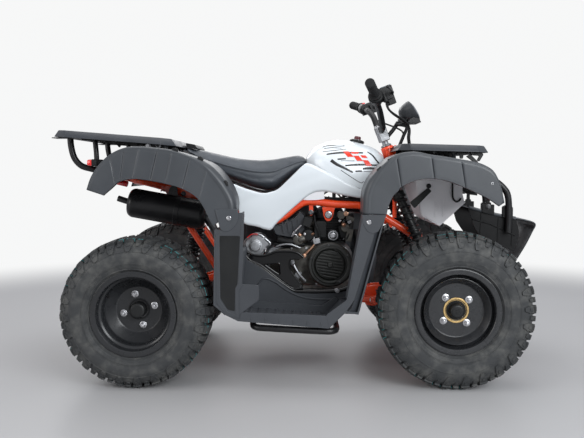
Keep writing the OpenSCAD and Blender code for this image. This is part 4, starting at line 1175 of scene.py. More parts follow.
def suspension():
    """Wishbones, springs and dampers, and the swing arm."""
    upper = np.array([562, KINGPIN_Y, FRONT_R + 68.0])
    lower = np.array([562, KINGPIN_Y, FRONT_R - 68.0])
    seat_off = 14 + 12 + 0.3 + 1.5
    lower_y = lambda x: 150 - max(0, x - 400) / 4
    lower_front = np.array([588, lower_y(588) + seat_off, 286.0])
    arms = arm(upper, 0.16, np.array([566, 118 + seat_off, 422.0]), np.array([630, 103 + seat_off, 382.0]))
    arms += arm(lower, 0, np.array([318, 150 + seat_off, 250.0]), lower_front)
    piece("wishbones", both(arms), "chassis", PAINT, ("control_arms",))
    joints = []
    for at, up in ((upper, 1), (lower, -1)):
        joints.append(ball(at + [0, 0, 12 * up], 12))
        joints += hex_bolt(at + [0, 0, 13 * up], (0, 0, up), 16, 9)
    for foot in ((566, 118 + seat_off, 422.0), (630, 103 + seat_off, 382.0), (318, 150 + seat_off, 250.0),
                 lower_front):
        joints.append(rod(np.array(foot) - [19, 0, 0], np.array(foot) + [19, 0, 0], 6.5, 16, 1))
    piece("arm_bolts", both(joints), "chassis", STEEL)
    shock_foot = mix(lower_front, lower - [0, 82, 0], 0.73) + [-1, 0, 37]
    dark, paint, steel = shock_parts(SHOCK_TOP, shock_foot, 26, 4.2, 17)
    piece("front_springs", both(paint), "chassis", BLACK_PAINT, ("front_shocks",))
    piece("front_dampers", both(dark), "chassis", BLACK_PLASTIC)
    piece("front_shock_bolts", both(steel), "chassis", STEEL)
    pivot = np.array([-239, 0, 330.0])
    foot = mix(REAR_AXLE, pivot, 0.4) + [0, 0, 27.3]
    top = np.array([-340, 0, 625.5 - 11.2 - 15.3])
    dark, paint, steel = shock_parts(top, foot, 32, 5.6, 13)
    piece("rear_spring", paint, "chassis", BLACK_PAINT, ("rear_shock",))
    piece("rear_damper", dark, "chassis", BLACK_PLASTIC)
    piece("rear_shock_bolts", steel, "chassis", STEEL)
    # swing arm: two rounded box tubes, carrier and pivot sleeve
    cross_at = mix(REAR_AXLE, pivot, 0.4)
    arms = []
    for s in (-1, 1):
        arms.append(tube([REAR_AXLE + [18, 60 * s, 0], mix(REAR_AXLE, pivot, 0.5) + [0, 60 * s, 0],
                          pivot + [-12, 60 * s, 0]], 14, 16))
        arms.append(lathe(fillet([(11.7, -17), (21, -17), (21, 17), (11.7, 17), (11.7, -17)], 2),
                          pivot + [0, 62 * s, 0], (0, 1, 0), 32))
        arms.append(slab(rounded([(-470, 276), (-404, 306), (-404, 288), (-470, 254)], 5), 60 * s - 3,
                         60 * s + 3))
    arms.append(rod(cross_at - [0, 60, 0], cross_at + [0, 60, 0], 12, 20))
    arms.append(lathe(fillet([(17.8, -75), (39.5, -75), (39.5, 75), (17.8, 75), (17.8, -75)], 3), REAR_AXLE,
                      (0, 1, 0), 40))
    piece("swing_arm", arms, "chassis", PAINT, ("swingarm",))
    studs = []
    for s in (-1, 1):
        studs += hex_bolt(pivot + [0, 79 * s, 0], (0, s, 0), 22, 9)
        for k in range(4):
            a = math.radians(45 + 90 * k)
            studs += hex_bolt(REAR_AXLE + [30 * math.cos(a), 75 * s, 30 * math.sin(a)], (0, s, 0), 10, 5,
                              washer=False)
    piece("swing_arm_bolts", studs, "chassis", STEEL)


def knuckles():
    """Each knuckle: post, spindle, steering arm with its eye and stud, and rubber boots at the ball joints.
    """
    for side, end, body in ((1, "left", "knuckle_l"), (-1, "right", "knuckle_r")):
        pick = list if side > 0 else right
        at = np.array([562, KINGPIN_Y, FRONT_R])
        post = lathe(smooth([(11, -54.7), (16, -48), (14, -34), (17, -14), (17, 14), (14, 34), (16, 48),
                             (11, 54.7)], 4), at, (0, 0, 1), 28)
        spindle = lathe([(14.9, 0), (14.9, 56), (13, 60)], at, (0, 1, 0), 28)
        steer_arm = tube(smooth([at + [0, 0, 20], at + [-36, 0, 23], at + [-80, 0, 24]], 6), 10, 14, flat=0.7)
        eye = lathe([(5, 18), (12, 18), (13, 20), (13, 28), (12, 30), (5, 30)], at + [-80, 0, 0], (0, 0, 1),
                    24)
        stud = rod(at + [-80, 0, 28], at + [-80, 0, 52], 4, 14, 1)
        piece(f"knuckle_casting_{end}", pick([post, spindle, steer_arm, eye, stud]), body, DARK_STEEL,
              (f"knuckle_{end}",))
        boots = [
            lathe(smooth([(9, 40), (14, 42), (11, 45), (15, 48), (12, 51), (13, 54)], 3), at, (0, 0, 1), 24),
            lathe(smooth([(9, -40), (14, -42), (11, -45), (15, -48), (12, -51), (13, -54)], 3), at,
                  (0, 0, 1), 24),
        ]
        piece(f"joint_boots_{end}", pick(boots), body, RUBBER)


frame_pieces()
suspension()
knuckles()


# ---------- engine, exhaust and guard ----------

FAN = np.array([153.0, 0, 380.0])


def engine():
    """Crankcase, side case, finned cylinder, hangers and head mount."""
    # crankcase halves with cast ribs and a parting flange
    case = rounded([(-110, 340), (-70, 296), (170, 285), (236, 330), (242, 420), (214, 458), (20, 458),
                    (-80, 446)], 22, 5)
    inner = rounded([(-96, 346), (-62, 306), (164, 296), (224, 336), (230, 416), (206, 448), (24, 448),
                     (-72, 438)], 20, 5)
    parts = [loft([at_y(q, y) for q, y in (
        (inner, -118), (case, -106), (case, -12), (mix(case, inner, -0.25), -9),
        (mix(case, inner, -0.25), -3), (case, 0), (case, 106), (inner, 118))])]
    parts.append(slab([(46, 262), (74, 262), (74, 300), (46, 300)], -60, 60))
    for x in np.linspace(-40, 210, 7):
        parts.append(block((x, -60, 288), (5, 88, 12)))
    piece("crankcase", parts, "chassis", ALLOY, ("engine_block",), edge=1.0)
    # side cover behind the fan, with its bolts
    cover = rounded([(-76, 330), (-30, 302), (160, 296), (226, 334), (232, 410), (196, 446), (60, 450),
                     (-60, 430)], 24, 5)
    ring = loft([at_y(q, -y) for q, y in (
        (cover, 117), (cover, 128), (mix(cover, cover.mean(0), 0.06), 132))])
    piece("side_case", [ring], "chassis", DARK_ALLOY, edge=0.6)
    bolts = []
    for x, z in ((-58, 342), (-20, 314), (42, 306), (104, 304), (214, 352), (218, 404), (66, 438), (10, 436),
                 (-44, 420)):
        bolts += hex_bolt((x, -131, z), (0, -1, 0), 10, 6, washer=False)
    piece("side_case_bolts", bolts, "chassis", STEEL)
    # cylinder with fins, head and its cover
    fins = []
    for z in np.linspace(470, 548, 9):
        fins.append(slab_z(rounded([(98, -72), (216, -72), (216, 72), (98, 72)], 12), z - 1.8, z + 1.8))
    barrel = slab_z(rounded([(108, -60), (206, -60), (206, 60), (108, 60)], 16), 458.3, 552)
    head = slab_z(rounded([(100, -70), (214, -70), (214, 70), (100, 70)], 14), 551, 568)
    dome = loft([np.stack([q[:, 0], q[:, 1], np.full(len(q), z)], -1) for q, z in (
        (rounded([(104, -66), (210, -66), (210, 66), (104, 66)], 14), 567),
        (rounded([(108, -60), (206, -60), (206, 60), (108, 60)], 14), 578),
        (rounded([(120, -44), (196, -44), (196, 44), (120, 44)], 12), 585))])
    piece("cylinder_and_head", fins + [barrel, head, dome], "chassis", BLACK_PAINT, ("engine_cylinder",))
    # hanger plates at the top rails and their bolts
    lug = fillet([(124, 592), (130, 556), (139, 540), (155, 540), (164, 556), (172, 592)], 8)
    piece("hangers", both([slab(lug, 147, 153)]), "chassis", PAINT, ("engine_mounts",), edge=0.8)
    spacer = [rod((148, 73, 564), (148, 147, 564), 9, 20), rod((148, 153, 564), (148, 157, 564), 14.5, 24, 1)]
    piece("hanger_spacers", both(spacer), "chassis", BLACK_PLASTIC)
    heads = hex_bolt((148, 157, 564), (0, 1, 0), 17, 8)
    piece("hanger_bolts", both(heads), "chassis", STEEL)
    # lower mount at the head's side: rubber ring, bright bolt
    boss = lathe(fillet([(11, -86), (19, -86), (19, 0), (11, 0), (11, -86)], 2), (165, -150, 486),
                 (0, -1, 0), 32)
    piece("head_mount", [boss], "chassis", ALLOY)
    piece("head_mount_ring", [lathe([(6, 0), (14, 0), (14, 4), (6, 4)], (165, -147, 486), (0, -1, 0), 28,
                                    loop=True)], "chassis", RUBBER)
    piece("head_mount_bolt", hex_bolt((165, -150, 486), (0, -1, 0), 15, 8), "chassis", STEEL)


def slab_z(outline, z0, z1):
    """A flat outline in X and Y carried from z0 to z1."""
    q = np.asarray(outline, float)
    p = np.stack([np.stack([q[:, 0], q[:, 1], np.full(len(q), z)], -1) for z in (z0, z1)])
    return surface(p, wrap_cols=True, caps=True)


def fan():
    """Fan housing: a shallow drum with a rolled edge, a raised scroll and a louvred disc."""
    at = FAN + [0, -118.3, 0]
    drum = lathe(fillet([(0.5, 62), (54, 62), (56, 55), (62, 55), (63, 65), (78, 66), (84, 58), (84, 40),
                         (80, 36), (80, 0), (0.5, 0)], 2.2), at, (0, -1, 0), 72)
    scroll_a = np.linspace(math.radians(70), math.radians(292), 40)
    middle_line = np.stack([64 * np.cos(scroll_a), 0 * scroll_a - 66.5, 64 * np.sin(scroll_a)], -1) + at
    scroll = tube(middle_line, np.interp(scroll_a, [scroll_a[0], scroll_a[-1]], [3.0, 7.0]), 10)
    piece("fan_housing", [drum, scroll], "chassis", FAN_PLASTIC, ("fan_cover",))
    slats = []
    tilt = pitched(9)
    for z in np.linspace(-44, 44, 9):
        half = math.sqrt(max(0, 52.0**2 - z * z)) - 3
        bar_part = tube([(-half, 0, 0), (half, 0, 0)], 4.2, 8, flat=0.5)
        slats.append(moved(moved(bar_part, (0, -66, z), tilt), at))
    slats.append(lathe(fillet([(0.4, 74), (8, 74), (11, 70), (12, 60)], 2), at, (0, -1, 0), 28))
    for a in (90, 210, 330):
        end = np.array([50 * math.cos(math.radians(a)), 0, 50 * math.sin(math.radians(a))])
        slats.append(moved(tube([(0, -64, 0), end + [0, -64, 0]], 2.4, 8), at))
    piece("fan_louvres", slats, "chassis", FAN_PLASTIC)
    screws = []
    for a in (28, 95, 160, 232, 300):
        p = at + [73 * math.cos(math.radians(a)), -66, 73 * math.sin(math.radians(a))]
        screws += dome_screw(p, (0, -1, 0), 5, 3)
    piece("fan_screws", screws, "chassis", DARK_STEEL)


def gearbox():
    """The drive's end case: a cast shell with a round boss and a rim, and its bolts."""
    line = rounded([(-166, 462), (-132, 494), (-102, 492), (-62, 456), (-80, 447), (-110, 400), (-150, 420)],
                   12, 4)
    shells = []
    for y0, y1 in ((60, 186), (-120, -60)):
        y_in, y_out = (y0, y1) if y0 > 0 else (y1, y0)
        mid = line.mean(0)
        shells.append(loft([at_y(q, -y) for q, y in (
            (line, y_in), (line, mix(y_in, y_out, 0.9)), (mix(line, mid, 0.12), y_out))]))
    boss = lathe(fillet([(0.5, 4), (18, 4), (20, 0.5), (25, 0.5), (26, -3)], 1.5), (-122, -186, 450),
                 (0, -1, 0), 40)
    rim_line = at_y(line, -172)
    rim = tube(rim_line, 3.6, 8, closed=True)
    piece("drive_case", shells + [boss, rim], "chassis", ALLOY, ("gear_case",))
    bolts = []
    for x, z in ((-90, 478), (-150, 470), (-84, 440)):
        bolts += hex_bolt((x, -178, z), (0, -1, 0), 10, 7, washer=False)
    piece("drive_case_bolts", bolts, "chassis", STEEL)
    arc = smooth([(-46, -150, 444), (-20, -152, 452), (8, -152, 452), (30, -150, 444), (44, -148, 438)], 6)
    piece("case_edge", [tube(arc, 4.2, 10, flat=0.6)], "chassis", ALLOY)
    piece("case_seal", [tube(smooth([(-152, -176, 480), (-134, -176, 493), (-112, -176, 493)], 5), 1.3, 8)],
          "chassis", LAMP_RED)


def guard():
    """The gloss guard: a plate round a three-cornered opening, two tails ahead of it, rolled edges."""
    y = 200
    out = smooth([(-163, 430), (-160, 439), (-131, 421), (-98, 415), (-66, 423), (-43, 433), (0, 433),
                  (5, 407), (5, 374), (13, 353), (-13, 314), (-52, 343), (-98, 379),
                  (-144, 403)], 5, closed=True)
    opening = smooth([(-84, 384), (-84, 386), (-80, 387), (-72, 388), (-60, 389), (-44, 390), (-34, 389),
                      (-32, 380), (-31, 366), (-30, 352), (-34, 349), (-48, 357), (-72, 374),
                      (-82, 381)], 5, closed=True)
    upper_tail = rounded([(-43, 433), (0, 434), (36, 428), (58, 411), (40, 404), (0, 403), (-30, 402)], 5)
    lower_tail = rounded([(-24, 324), (20, 294), (57, 296), (50, 310), (16, 354), (4, 376), (-22, 344)], 5)
    plates = [ringed(out, opening, y, y + 8), slab(upper_tail, y + 0.6, y + 8.6),
              slab(lower_tail, y + 0.6, y + 8.6)]
    edge_low = [(-162, 432), (-144, 404), (-98, 380), (-52, 344), (-13, 315), (20, 296), (55, 297)]
    edge_top = [(-160, 437), (-131, 421), (-98, 416), (-66, 424), (-43, 432), (0, 433), (34, 427), (55, 411)]
    arm_edge = [(40, 405), (9, 404), (5, 374), (16, 350), (48, 308)]
    for line, r in ((edge_low, 5.5), (edge_top, 5.0), (arm_edge, 3.6)):
        line = smooth(line, 6)
        plates.append(tube(at_y(line, y + 6.0), r, 12))
    frame_line = at_y(opening, y + 7.0)
    plates.append(tube(frame_line, 2.6, 8, closed=True))
    piece("guard_plate", right(plates), "chassis", GLOSS_BLACK, ("engine_guard",), edge=1.2)
    screws = dome_screw((-146, y + 8, 418), (0, 1, 0), 6, 3) + dome_screw((44, y + 9, 303), (0, 1, 0), 5, 3)
    piece("guard_screws", right(screws), "chassis", DARK_STEEL)


def intake():
    """Air box with ribs and a lid seam, and the carburettor with its bowl and slide cap."""
    line = rounded([(-66, 520), (-50, 486), (38, 470), (62, 480), (62, 560), (44, 574), (20, 545),
                    (-40, 520)], 9, 4)
    mid = line.mean(0)
    box = loft([at_y(q, -y) for q, y in (
        (mix(line, mid, 0.05), -60), (line, -52), (line, 118), (mix(line, mid, 0.06), 126))])
    ribs = [block((x, -128, 520), (5, 8, 52), pitched(-8)) for x in (-22, -2, 18, 38)]
    seam = tube(at_y(line, -88.0), 3.4, 8, closed=True)
    piece("air_box_shell", [box, seam] + ribs, "chassis", WELL_PLASTIC, ("air_box",), edge=0.8)
    body = [
        lathe(fillet([(16, 0), (23, 0), (23, 8), (19, 10), (19, 28), (23, 30), (23, 38), (16, 38)], 2),
              (62, -20, 520), (1, 0, 0), 32),
        rod((81, -20, 470), (81, -20, 548), 17, 24, 3),
        lathe([(19, 0), (21, 3), (21, 14), (12, 22), (6, 26)], (81, -20, 532), (0, 0, 1), 28),
        rod((81, -62, 500), (81, -20, 500), 13, 20, 2),
    ]
    piece("carburettor_body", body, "chassis", DARK_ALLOY, ("carburettor",))


def beside_cylinder():
    """Hoses, castings, sensor and small fittings on the right of the cylinder."""
    dark = [
        lathe(fillet([(8, -60), (24, -60), (24, -6), (20, 0), (8, 0)], 3), (72, -148, 486), (0, -1, 0), 32),
        tube(smooth([(-40, -132, 470), (0, -138, 462), (30, -138, 466), (52, -140, 480)], 6), 13, 16),
        tube(smooth([(-52, -126, 452), (-10, -134, 446), (26, -140, 450), (60, -142, 452)], 6), 8, 14),
        tube(smooth([(96, -130, 560), (100, -142, 530), (112, -146, 500), (116, -144, 470)], 6), 4.2, 10),
        tube(smooth([(214, -40, 545), (236, -80, 560), (236, -118, 540), (228, -134, 500), (214, -136, 470)],
                    6), 8, 12),
        block((70, -142, 536), (30, 24, 34), pitched(20)),
        block((118, -118, 508), (44, 40, 60)),
        block((205, -110, 500), (30, 36, 44), pitched(-12)),
    ]
    piece("intake_hoses", dark, "chassis", BLACK_PLASTIC, edge=1.2)
    grey = [
        rod((36, -146, 470), (36, -152, 470), 20, 28, 2),
        rod((36, -138, 466), (62, -138, 476), 17, 24, 3),
        lathe(fillet([(6, -40), (17, -40), (17, -4), (14, 0), (6, 0)], 2), (212, -140, 512), (0, -1, 0), 28),
        block((226, -128, 486), (22, 30, 46), pitched(10)),
        block((230, -120, 548), (30, 26, 16), pitched(24)),
        lathe([(8, -50), (15, -50), (15, 0), (8, 0)], (196, -132, 560), (0, -1, 0), 24),
    ]
    piece("intake_castings", grey, "chassis", DARK_ALLOY, edge=1.0)
    bright = [
        # sensor block, its lever, the hook over the intake and the chain of small links
        block((104, -152, 466), (25, 12, 20), pitched(-14)),
        tube(smooth([(16, -150, 492), (26, -152, 504), (38, -152, 515), (46, -150, 524)], 6), 3.6, 10,
             flat=0.6),
        tube(smooth([(10, -150, 482), (20, -151, 490), (28, -151, 488), (34, -150, 480)], 6), 2.6, 8),
        rod((60, -142, 492), (60, -158, 492), 5, 14, 1),
        block((226, -146, 536), (14, 8, 9), pitched(-24)),
        rod((190, -138, 540), (190, -152, 540), 5, 14, 1),
    ]
    for k in range(9):
        t = k / 8
        bright.append(rod((16 + 30 * t, -154, 492 + 32 * t), (16 + 30 * t, -157, 492 + 32 * t), 2.4, 10))
    piece("intake_bright_parts", bright, "chassis", STEEL, edge=0.6)
    brass = [
        tube(smooth([(58, -150, 411), (70, -152, 424), (84, -152, 438), (96, -150, 452)], 5), 5.0, 12),
        rod((58, -144, 411), (58, -160, 411), 8, 20, 1.5),
        rod((38, -150, 492), (46, -150, 484), 7, 16, 1),
        rod((200, -140, 528), (208, -148, 524), 8, 18, 1),
        rod((214, -118, 566), (214, -136, 566), 9, 18, 1),
        rod((86, -146, 488), (94, -150, 496), 5, 14, 1),
    ]
    piece("intake_brass_parts", brass, "chassis", COPPER)


def behind_engine():
    """Dark backing behind and ahead of the engine, partly the hidden air box tank and duct and partly painted
    shade where the background would show through; then the sump under the cases and the lever on them.
    """
    tank_line = rounded([(-168, 470), (-60, 446), (40, 462), (112, 486), (112, 584), (70, 600), (20, 580),
                         (-60, 548), (-168, 566)], 12, 4)
    duct_line = rounded([(206, 292), (262, 280), (322, 300), (336, 400), (322, 520), (300, 560), (236, 566),
                         (216, 470)], 14, 4)
    # two dark ribbed blocks that fill the gaps in the engine bay: partly hidden parts, partly painted shade
    backing_and_shade = [slab(tank_line, 8, 112), slab(duct_line, -70, 70)]
    for x in (-130, -100, -70, -40, -10):
        backing_and_shade.append(block((x, 6, 508), (6, 8, 66), pitched(-8)))
    for z in (340, 390, 440, 490):
        backing_and_shade.append(block((268, -71, z), (86, 6, 6), pitched(-12)))
    piece("engine_backing_and_shade", backing_and_shade, "chassis", WELL_PLASTIC, edge=2.0)
    sump = rounded([(-64, 270), (196, 266), (238, 300), (234, 336), (-74, 336)], 10, 4)
    ribs = [block((x, -113, 290), (5, 5, 30)) for x in (-30, 10, 50, 90, 130, 170)]
    piece("sump", [slab(sump, -112, 100)] + ribs, "chassis", SUMP_ALLOY, edge=1.6)
    lever = [tube(smooth([(14, -140, 384), (26, -143, 360), (42, -143, 336), (64, -140, 312)], 6), 5.5, 12,
                  flat=0.6),
             rod((14, -138, 384), (14, -150, 384), 10, 24, 2),
             block((30, -139, 330), (22, 10, 44), about((0, 1, 0), 0.5))]
    piece("case_lever", lever, "chassis", ALLOY, edge=0.8)


PIPE = pts(
    (214.9, -40, 520), (232, -40, 519), (254, -58, 496), (262, -88, 450), (264, -120, 390), (256, -158, 326),
    (226, -184, 290), (170, -190, 280), (60, -190, 280), (-60, -190, 280), (-150, -190, 284),
    (-196, -190, 320), (-230, -190, 400), (-266, -196, 500), (-290, -204, 548), (-309, -204, 563.7),
    (-337.4, -204, 568.9),
)


def exhaust():
    """Pipe, silencer, strap and clamp."""
    piece("smooth_exhaust", [tube(smooth(PIPE, 6), 15, 18)], "chassis", DARK_STEEL, ("exhaust_pipe",))
    a, b = pts((-300, -204, 562), (-580, -204, 613))
    d = (b - a) / np.linalg.norm(b - a)
    n = np.linalg.norm(b - a)
    can = lathe(
        fillet([(0.5, 0.3), (34, 0.3), (47, 4), (52, 15), (53, 22), (53, 0.5 * n), (53, n - 22),
                (52, n - 14), (45, n - 4), (34, n), (0.5, n)], 5),
        a, d, 64,
    )
    seams = [lathe([(52.6, h - 1.4), (53.2, h - 1.0), (53.2, h + 1.0), (52.6, h + 1.4)], a, d, 64, loop=True)
             for h in (20, n - 22)]
    tail = [
        lathe([(8.6, 0), (11, 0), (11, 40), (10.6, 41.6), (8.6, 42)], b, d + [0, 0, 0.14], 28, loop=True),
        lathe(fillet([(11, -2), (20, -2), (20, 3), (11, 5), (11, -2)], 1), b, d, 28),
    ]
    piece("silencer_can", [can] + seams + tail, "chassis", BLACK_PAINT, ("muffler",))
    strap = lathe([(53.4, -9), (55.2, -8), (55.2, 8), (53.4, 9)], mix(a, b, 0.36), d, 64, loop=True)
    hanger = [strap, slab(rounded([(-438, 640), (-400, 634), (-404, 668), (-424, 672)], 4), -208, -202)]
    piece("silencer_strap", hanger, "chassis", BLACK_PAINT, edge=0.6)
    clamp = lathe([(15.3, -8), (17.5, -7), (17.5, 7), (15.3, 8)], (-283, -202, 537), (-0.36, -0.1, 0.93), 36,
                  loop=True)
    piece("silencer_clamp", [clamp], "chassis", DARK_STEEL)


engine()
fan()
gearbox()
guard()
intake()
beside_cylinder()
behind_engine()
exhaust()


# ---------- seat, tank cover and side panels ----------

PANEL_Y = 175.0
SEAT_HALF_W = 150.0
SEAT = pts(
    (-378, 812, 792, 0.84), (-336, 799, 742, 0.93), (-262, 781, 705, 1.0), (-190, 766, 677, 1.0),
    (-120, 760, 652, 0.96), (-60, 763, 646, 0.88), (-20, 770, 674, 0.80), (30, 778, 716, 0.69),
    (58, 776, 734, 0.60), (72, 764, 746, 0.50),
)


def seat_rings(n, sides):
    """Rings of the seat: at each station a flat-bottomed loop of half width w from bottom b to top t, where
    y = w |cos a|^0.5 and z = (t+b)/2 + (t-b)/2 |sin a|^0.8, each with its sign, tucked in below."""
    s = smooth(SEAT, n)
    x, top, low = s[:, 0:1], s[:, 1:2], s[:, 2:3]
    w = s[:, 3:4] * SEAT_HALF_W
    a = np.linspace(0, 2 * math.pi, sides, endpoint=False)[None, :] + math.pi / sides
    c, v = np.cos(a), np.sin(a)
    side = np.sign(c) * np.abs(c) ** 0.5
    up = np.sign(v) * np.abs(v) ** 0.8
    tuck = 1 - 0.10 * np.clip(-up, 0, 1) - 0.05 * np.clip(up, 0, 1) ** 2
    crown = np.where(up > 0, 1.0, 0.9)
    y = w * side * tuck
    z = (top + low) / 2 + (top - low) / 2 * up * crown
    return np.stack([np.broadcast_to(x, y.shape), y, z], -1)


def domed(rings, depth):
    """The rings with a few smaller ones beyond each end, so that the ends are rounded and closed."""
    out = []
    for end, ahead in ((rings[0], rings[0] - rings[1]), (rings[-1], rings[-1] - rings[-2])):
        mid = end.mean(0)
        d = ahead.mean(0)
        d = d / np.linalg.norm(d)
        steps = [mix(end, mid, 1 - math.cos(a)) + d * depth * math.sin(a) for a in np.linspace(0.35, 1.35, 3)]
        out.append(steps)
    return np.concatenate([np.array(out[0][::-1]), rings, np.array(out[1])])


def cushion(obj):
    """Foam under its cover: the loft is remeshed and blown up a little as cloth, its sunk edge held."""
    modifier(obj, "REMESH", mode="VOXEL", voxel_size=0.0055, use_smooth_shade=True)
    apply_all(obj)
    mesh = obj.data
    n = len(mesh.vertices)
    p = np.empty(n * 3)
    mesh.vertices.foreach_get("co", p)
    before = p.reshape(-1, 3).copy()
    local = before / MM - SHIFT
    rail = np.interp(local[:, 0], SEAT[:, 0], SEAT[:, 2])
    high = np.interp(local[:, 0], SEAT[:, 0], SEAT[:, 1])
    share = (local[:, 2] - rail) / np.maximum(high - rail, 1)
    hold = obj.vertex_groups.new(name="held")
    held = np.clip((0.34 - share) / 0.1, 0, 1)
    held = np.maximum(held, np.clip((-352 - local[:, 0]) / 12, 0, 1))
    held = np.maximum(held, np.clip((local[:, 0] - 52) / 12, 0, 1))
    for level in np.unique(np.round(held, 1)):
        if level > 0:
            hold.add(np.nonzero(np.round(held, 1) == level)[0].tolist(), float(level), "REPLACE")
    cloth = obj.modifiers.new("Cover", "CLOTH")
    cloth.settings.quality = 6
    cloth.settings.mass = 0.25
    cloth.settings.tension_stiffness = 28
    cloth.settings.compression_stiffness = 10
    cloth.settings.shear_stiffness = 8
    cloth.settings.bending_stiffness = 0.35
    cloth.settings.use_pressure = True
    cloth.settings.uniform_pressure_force = 3.2
    cloth.settings.vertex_group_mass = "held"
    cloth.settings.effector_weights.gravity = 0
    cloth.point_cache.frame_start = 1
    cloth.point_cache.frame_end = 20
    scene = bpy.context.scene
    for k in range(1, 21):
        scene.frame_set(k)
    apply_all(obj)
    scene.frame_set(1)
    mesh = obj.data
    p = np.empty(len(mesh.vertices) * 3)
    mesh.vertices.foreach_get("co", p)
    after = p.reshape(-1, 3)
    step = after - before
    far = np.linalg.norm(step, axis=1)[:, None]
    after = before + step * np.minimum(1, 0.007 / np.maximum(far, 1e-9))
    mesh.vertices.foreach_set("co", after.ravel())
    mesh.polygons.foreach_set("use_smooth", np.ones(len(mesh.polygons), bool))
    mesh.update()


def apply_all(obj):
    """Bakes an object's modifiers into its mesh."""
    graph = bpy.context.evaluated_depsgraph_get()
    new = bpy.data.meshes.new_from_object(obj.evaluated_get(graph))
    materials = list(obj.data.materials)
    obj.modifiers.clear()
    obj.data = new
    obj.data.materials.clear()
    for m in materials:
        obj.data.materials.append(m)


def seat():
    """The padded saddle, its welt, pan and back cover."""
    rings = domed(seat_rings(4, 44), 4.0)
    saddle = piece("saddle", [loft(rings)], "chassis", SEAT_VINYL, ("seat",))
    cushion(saddle)
    # welt round the top, and the pan under the cover
    s = smooth(SEAT, 4)
    keep = (s[:, 0] > -366) & (s[:, 0] < 64)
    s = s[keep]
    w = s[:, 3] * SEAT_HALF_W
    welt_z = s[:, 2] + 0.66 * (s[:, 1] - s[:, 2])
    line = np.stack([s[:, 0], w * 0.992, welt_z], -1)
    piece("saddle_welt", both([tube(smooth(line, 2), 2.0, 8)]), "chassis", SEAT_VINYL)
    pan = np.stack([s[:, 0], w * 0.93, s[:, 2] + 4], -1)
    piece("saddle_pan_edge", both([tube(smooth(pan, 2), 4.0, 8, flat=1.6)]), "chassis", BLACK_PLASTIC)
    cover = slab(rounded([(-386, 830), (-352, 824), (-342, 809), (-350, 806), (-384, 816)], 3), -108, 108)
    piece("saddle_back_cover", [cover], "chassis", BLACK_PLASTIC, edge=1.5)


TANK = pts(
    (70, 784, 744, 0.62), (84, 803, 733, 0.76), (104, 820, 719, 0.87), (142, 836, 698, 0.97),
    (188, 845, 676, 1.0), (244, 840, 654, 0.99), (302, 824, 652, 0.95), (332, 810, 676, 0.86),
    (356, 790, 718, 0.68),
)


def tank_rings():
    """Rings of the tank cover: a vertical flank that leans in over a shoulder to a broad crown."""
    s = smooth(TANK, 6)
    x, top, low = s[:, 0:1], s[:, 1:2], s[:, 2:3]
    w = s[:, 3:4] * (PANEL_Y - 4.6)
    h = top - low
    shape = np.array([
        (1.0, 0.0), (1.0, 0.18), (0.995, 0.36), (0.975, 0.50), (0.925, 0.63), (0.84, 0.75), (0.70, 0.865),
        (0.52, 0.935), (0.30, 0.982), (0.0, 1.0),
    ])
    shape = smooth(shape, 3)
    half = np.stack([np.broadcast_to(x, (len(s), len(shape))), w * shape[None, :, 0],
                     low + h * shape[None, :, 1]], -1)
    other = half[:, -2::-1] * [1, -1, 1]
    under = np.stack([np.broadcast_to(x, (len(s), 5)), w * np.linspace(-0.8, 0.8, 5)[None, :],
                      low + 0 * w * np.ones(5)], -1)
    return np.concatenate([half, other, under], 1)


def panel_grid():
    """One side panel: between its upper and lower edge, crowned and turned in at both."""
    top = smooth([(-239, 693), (-190, 672), (-144, 655), (-95, 643), (-62, 648), (-34, 661), (24, 716),
                  (50, 741), (72, 752), (120, 731), (180, 700), (236, 671), (289, 645)], 8)
    low = smooth([(-239, 692), (-215, 660), (-197, 632), (-186, 606), (-180, 570), (-164, 534), (-116, 521),
                  (-70, 509), (-50, 528), (-27, 551), (24, 597), (67, 632), (96, 648), (134, 651), (204, 637),
                  (276, 627), (289, 644)], 8)
    x = np.concatenate([np.linspace(-239, -160, 26), np.linspace(-157, 289, 96)])
    lo, hi = (np.interp(x, q[:, 0], q[:, 1]) for q in (low, top))
    v = (1 - np.cos(np.linspace(0, math.pi, 27))) / 2
    z = lo[:, None] + v[None, :] * (hi - lo)[:, None]
    height = (hi - lo)[:, None]
    from_edge = np.minimum(v[None, :], 1 - v[None, :]) * height
    turn = np.clip(1 - from_edge / 7.0, 0, 1) ** 2 * 4.5
    swell = 3.0 * np.sin(np.pi * v)[None, :] * np.clip(height / 120, 0, 1)
    crease = 2.2 * np.exp(-(((z - (648 + 0.34 * (x[:, None] + 60))) / 16) ** 2)) * np.clip(height / 90, 0, 1)
    y = PANEL_Y - 2.4 + swell * 0.8 - turn - crease * 0.6
    return np.stack([np.broadcast_to(x[:, None], z.shape), y, z], -1)


def on_side(tree, line, lift):
    """Points given as (x, z) set on a skin's right side, each lifted off it along the skin's normal."""
    out = []
    for x, z in np.asarray(line, float):
        at = row(x, -600, z)
        hit, normal, _, _ = tree.ray_cast(Vector(at), Vector((0, 1, 0)))
        if hit is None:
            hit, normal, _, _ = tree.find_nearest(Vector(row(x, -120, z)))
        normal = normal if normal.y < 0.2 else -normal
        out.append(np.array(hit + normal * lift * MM) / MM - SHIFT)
    return np.array(out)


def stripe(tree, line, width, lift=0.45):
    """A flat ribbon along a line on the skin, as wide as width(t) mm at each station."""
    q = smooth(line, 6)
    d = np.gradient(q, axis=0)
    d /= np.linalg.norm(d, axis=1)[:, None]
    side = np.stack([-d[:, 1], d[:, 0]], -1)
    w = np.interp(np.linspace(0, 1, len(q)), np.linspace(0, 1, len(width)), width)[:, None, None]
    v = np.linspace(-0.5, 0.5, 3)[None, :, None]
    grid = q[:, None] + side[:, None] * v * w
    p = on_side(tree, grid.reshape(-1, 2), lift).reshape(len(q), 3, 3)
    return surface(p)


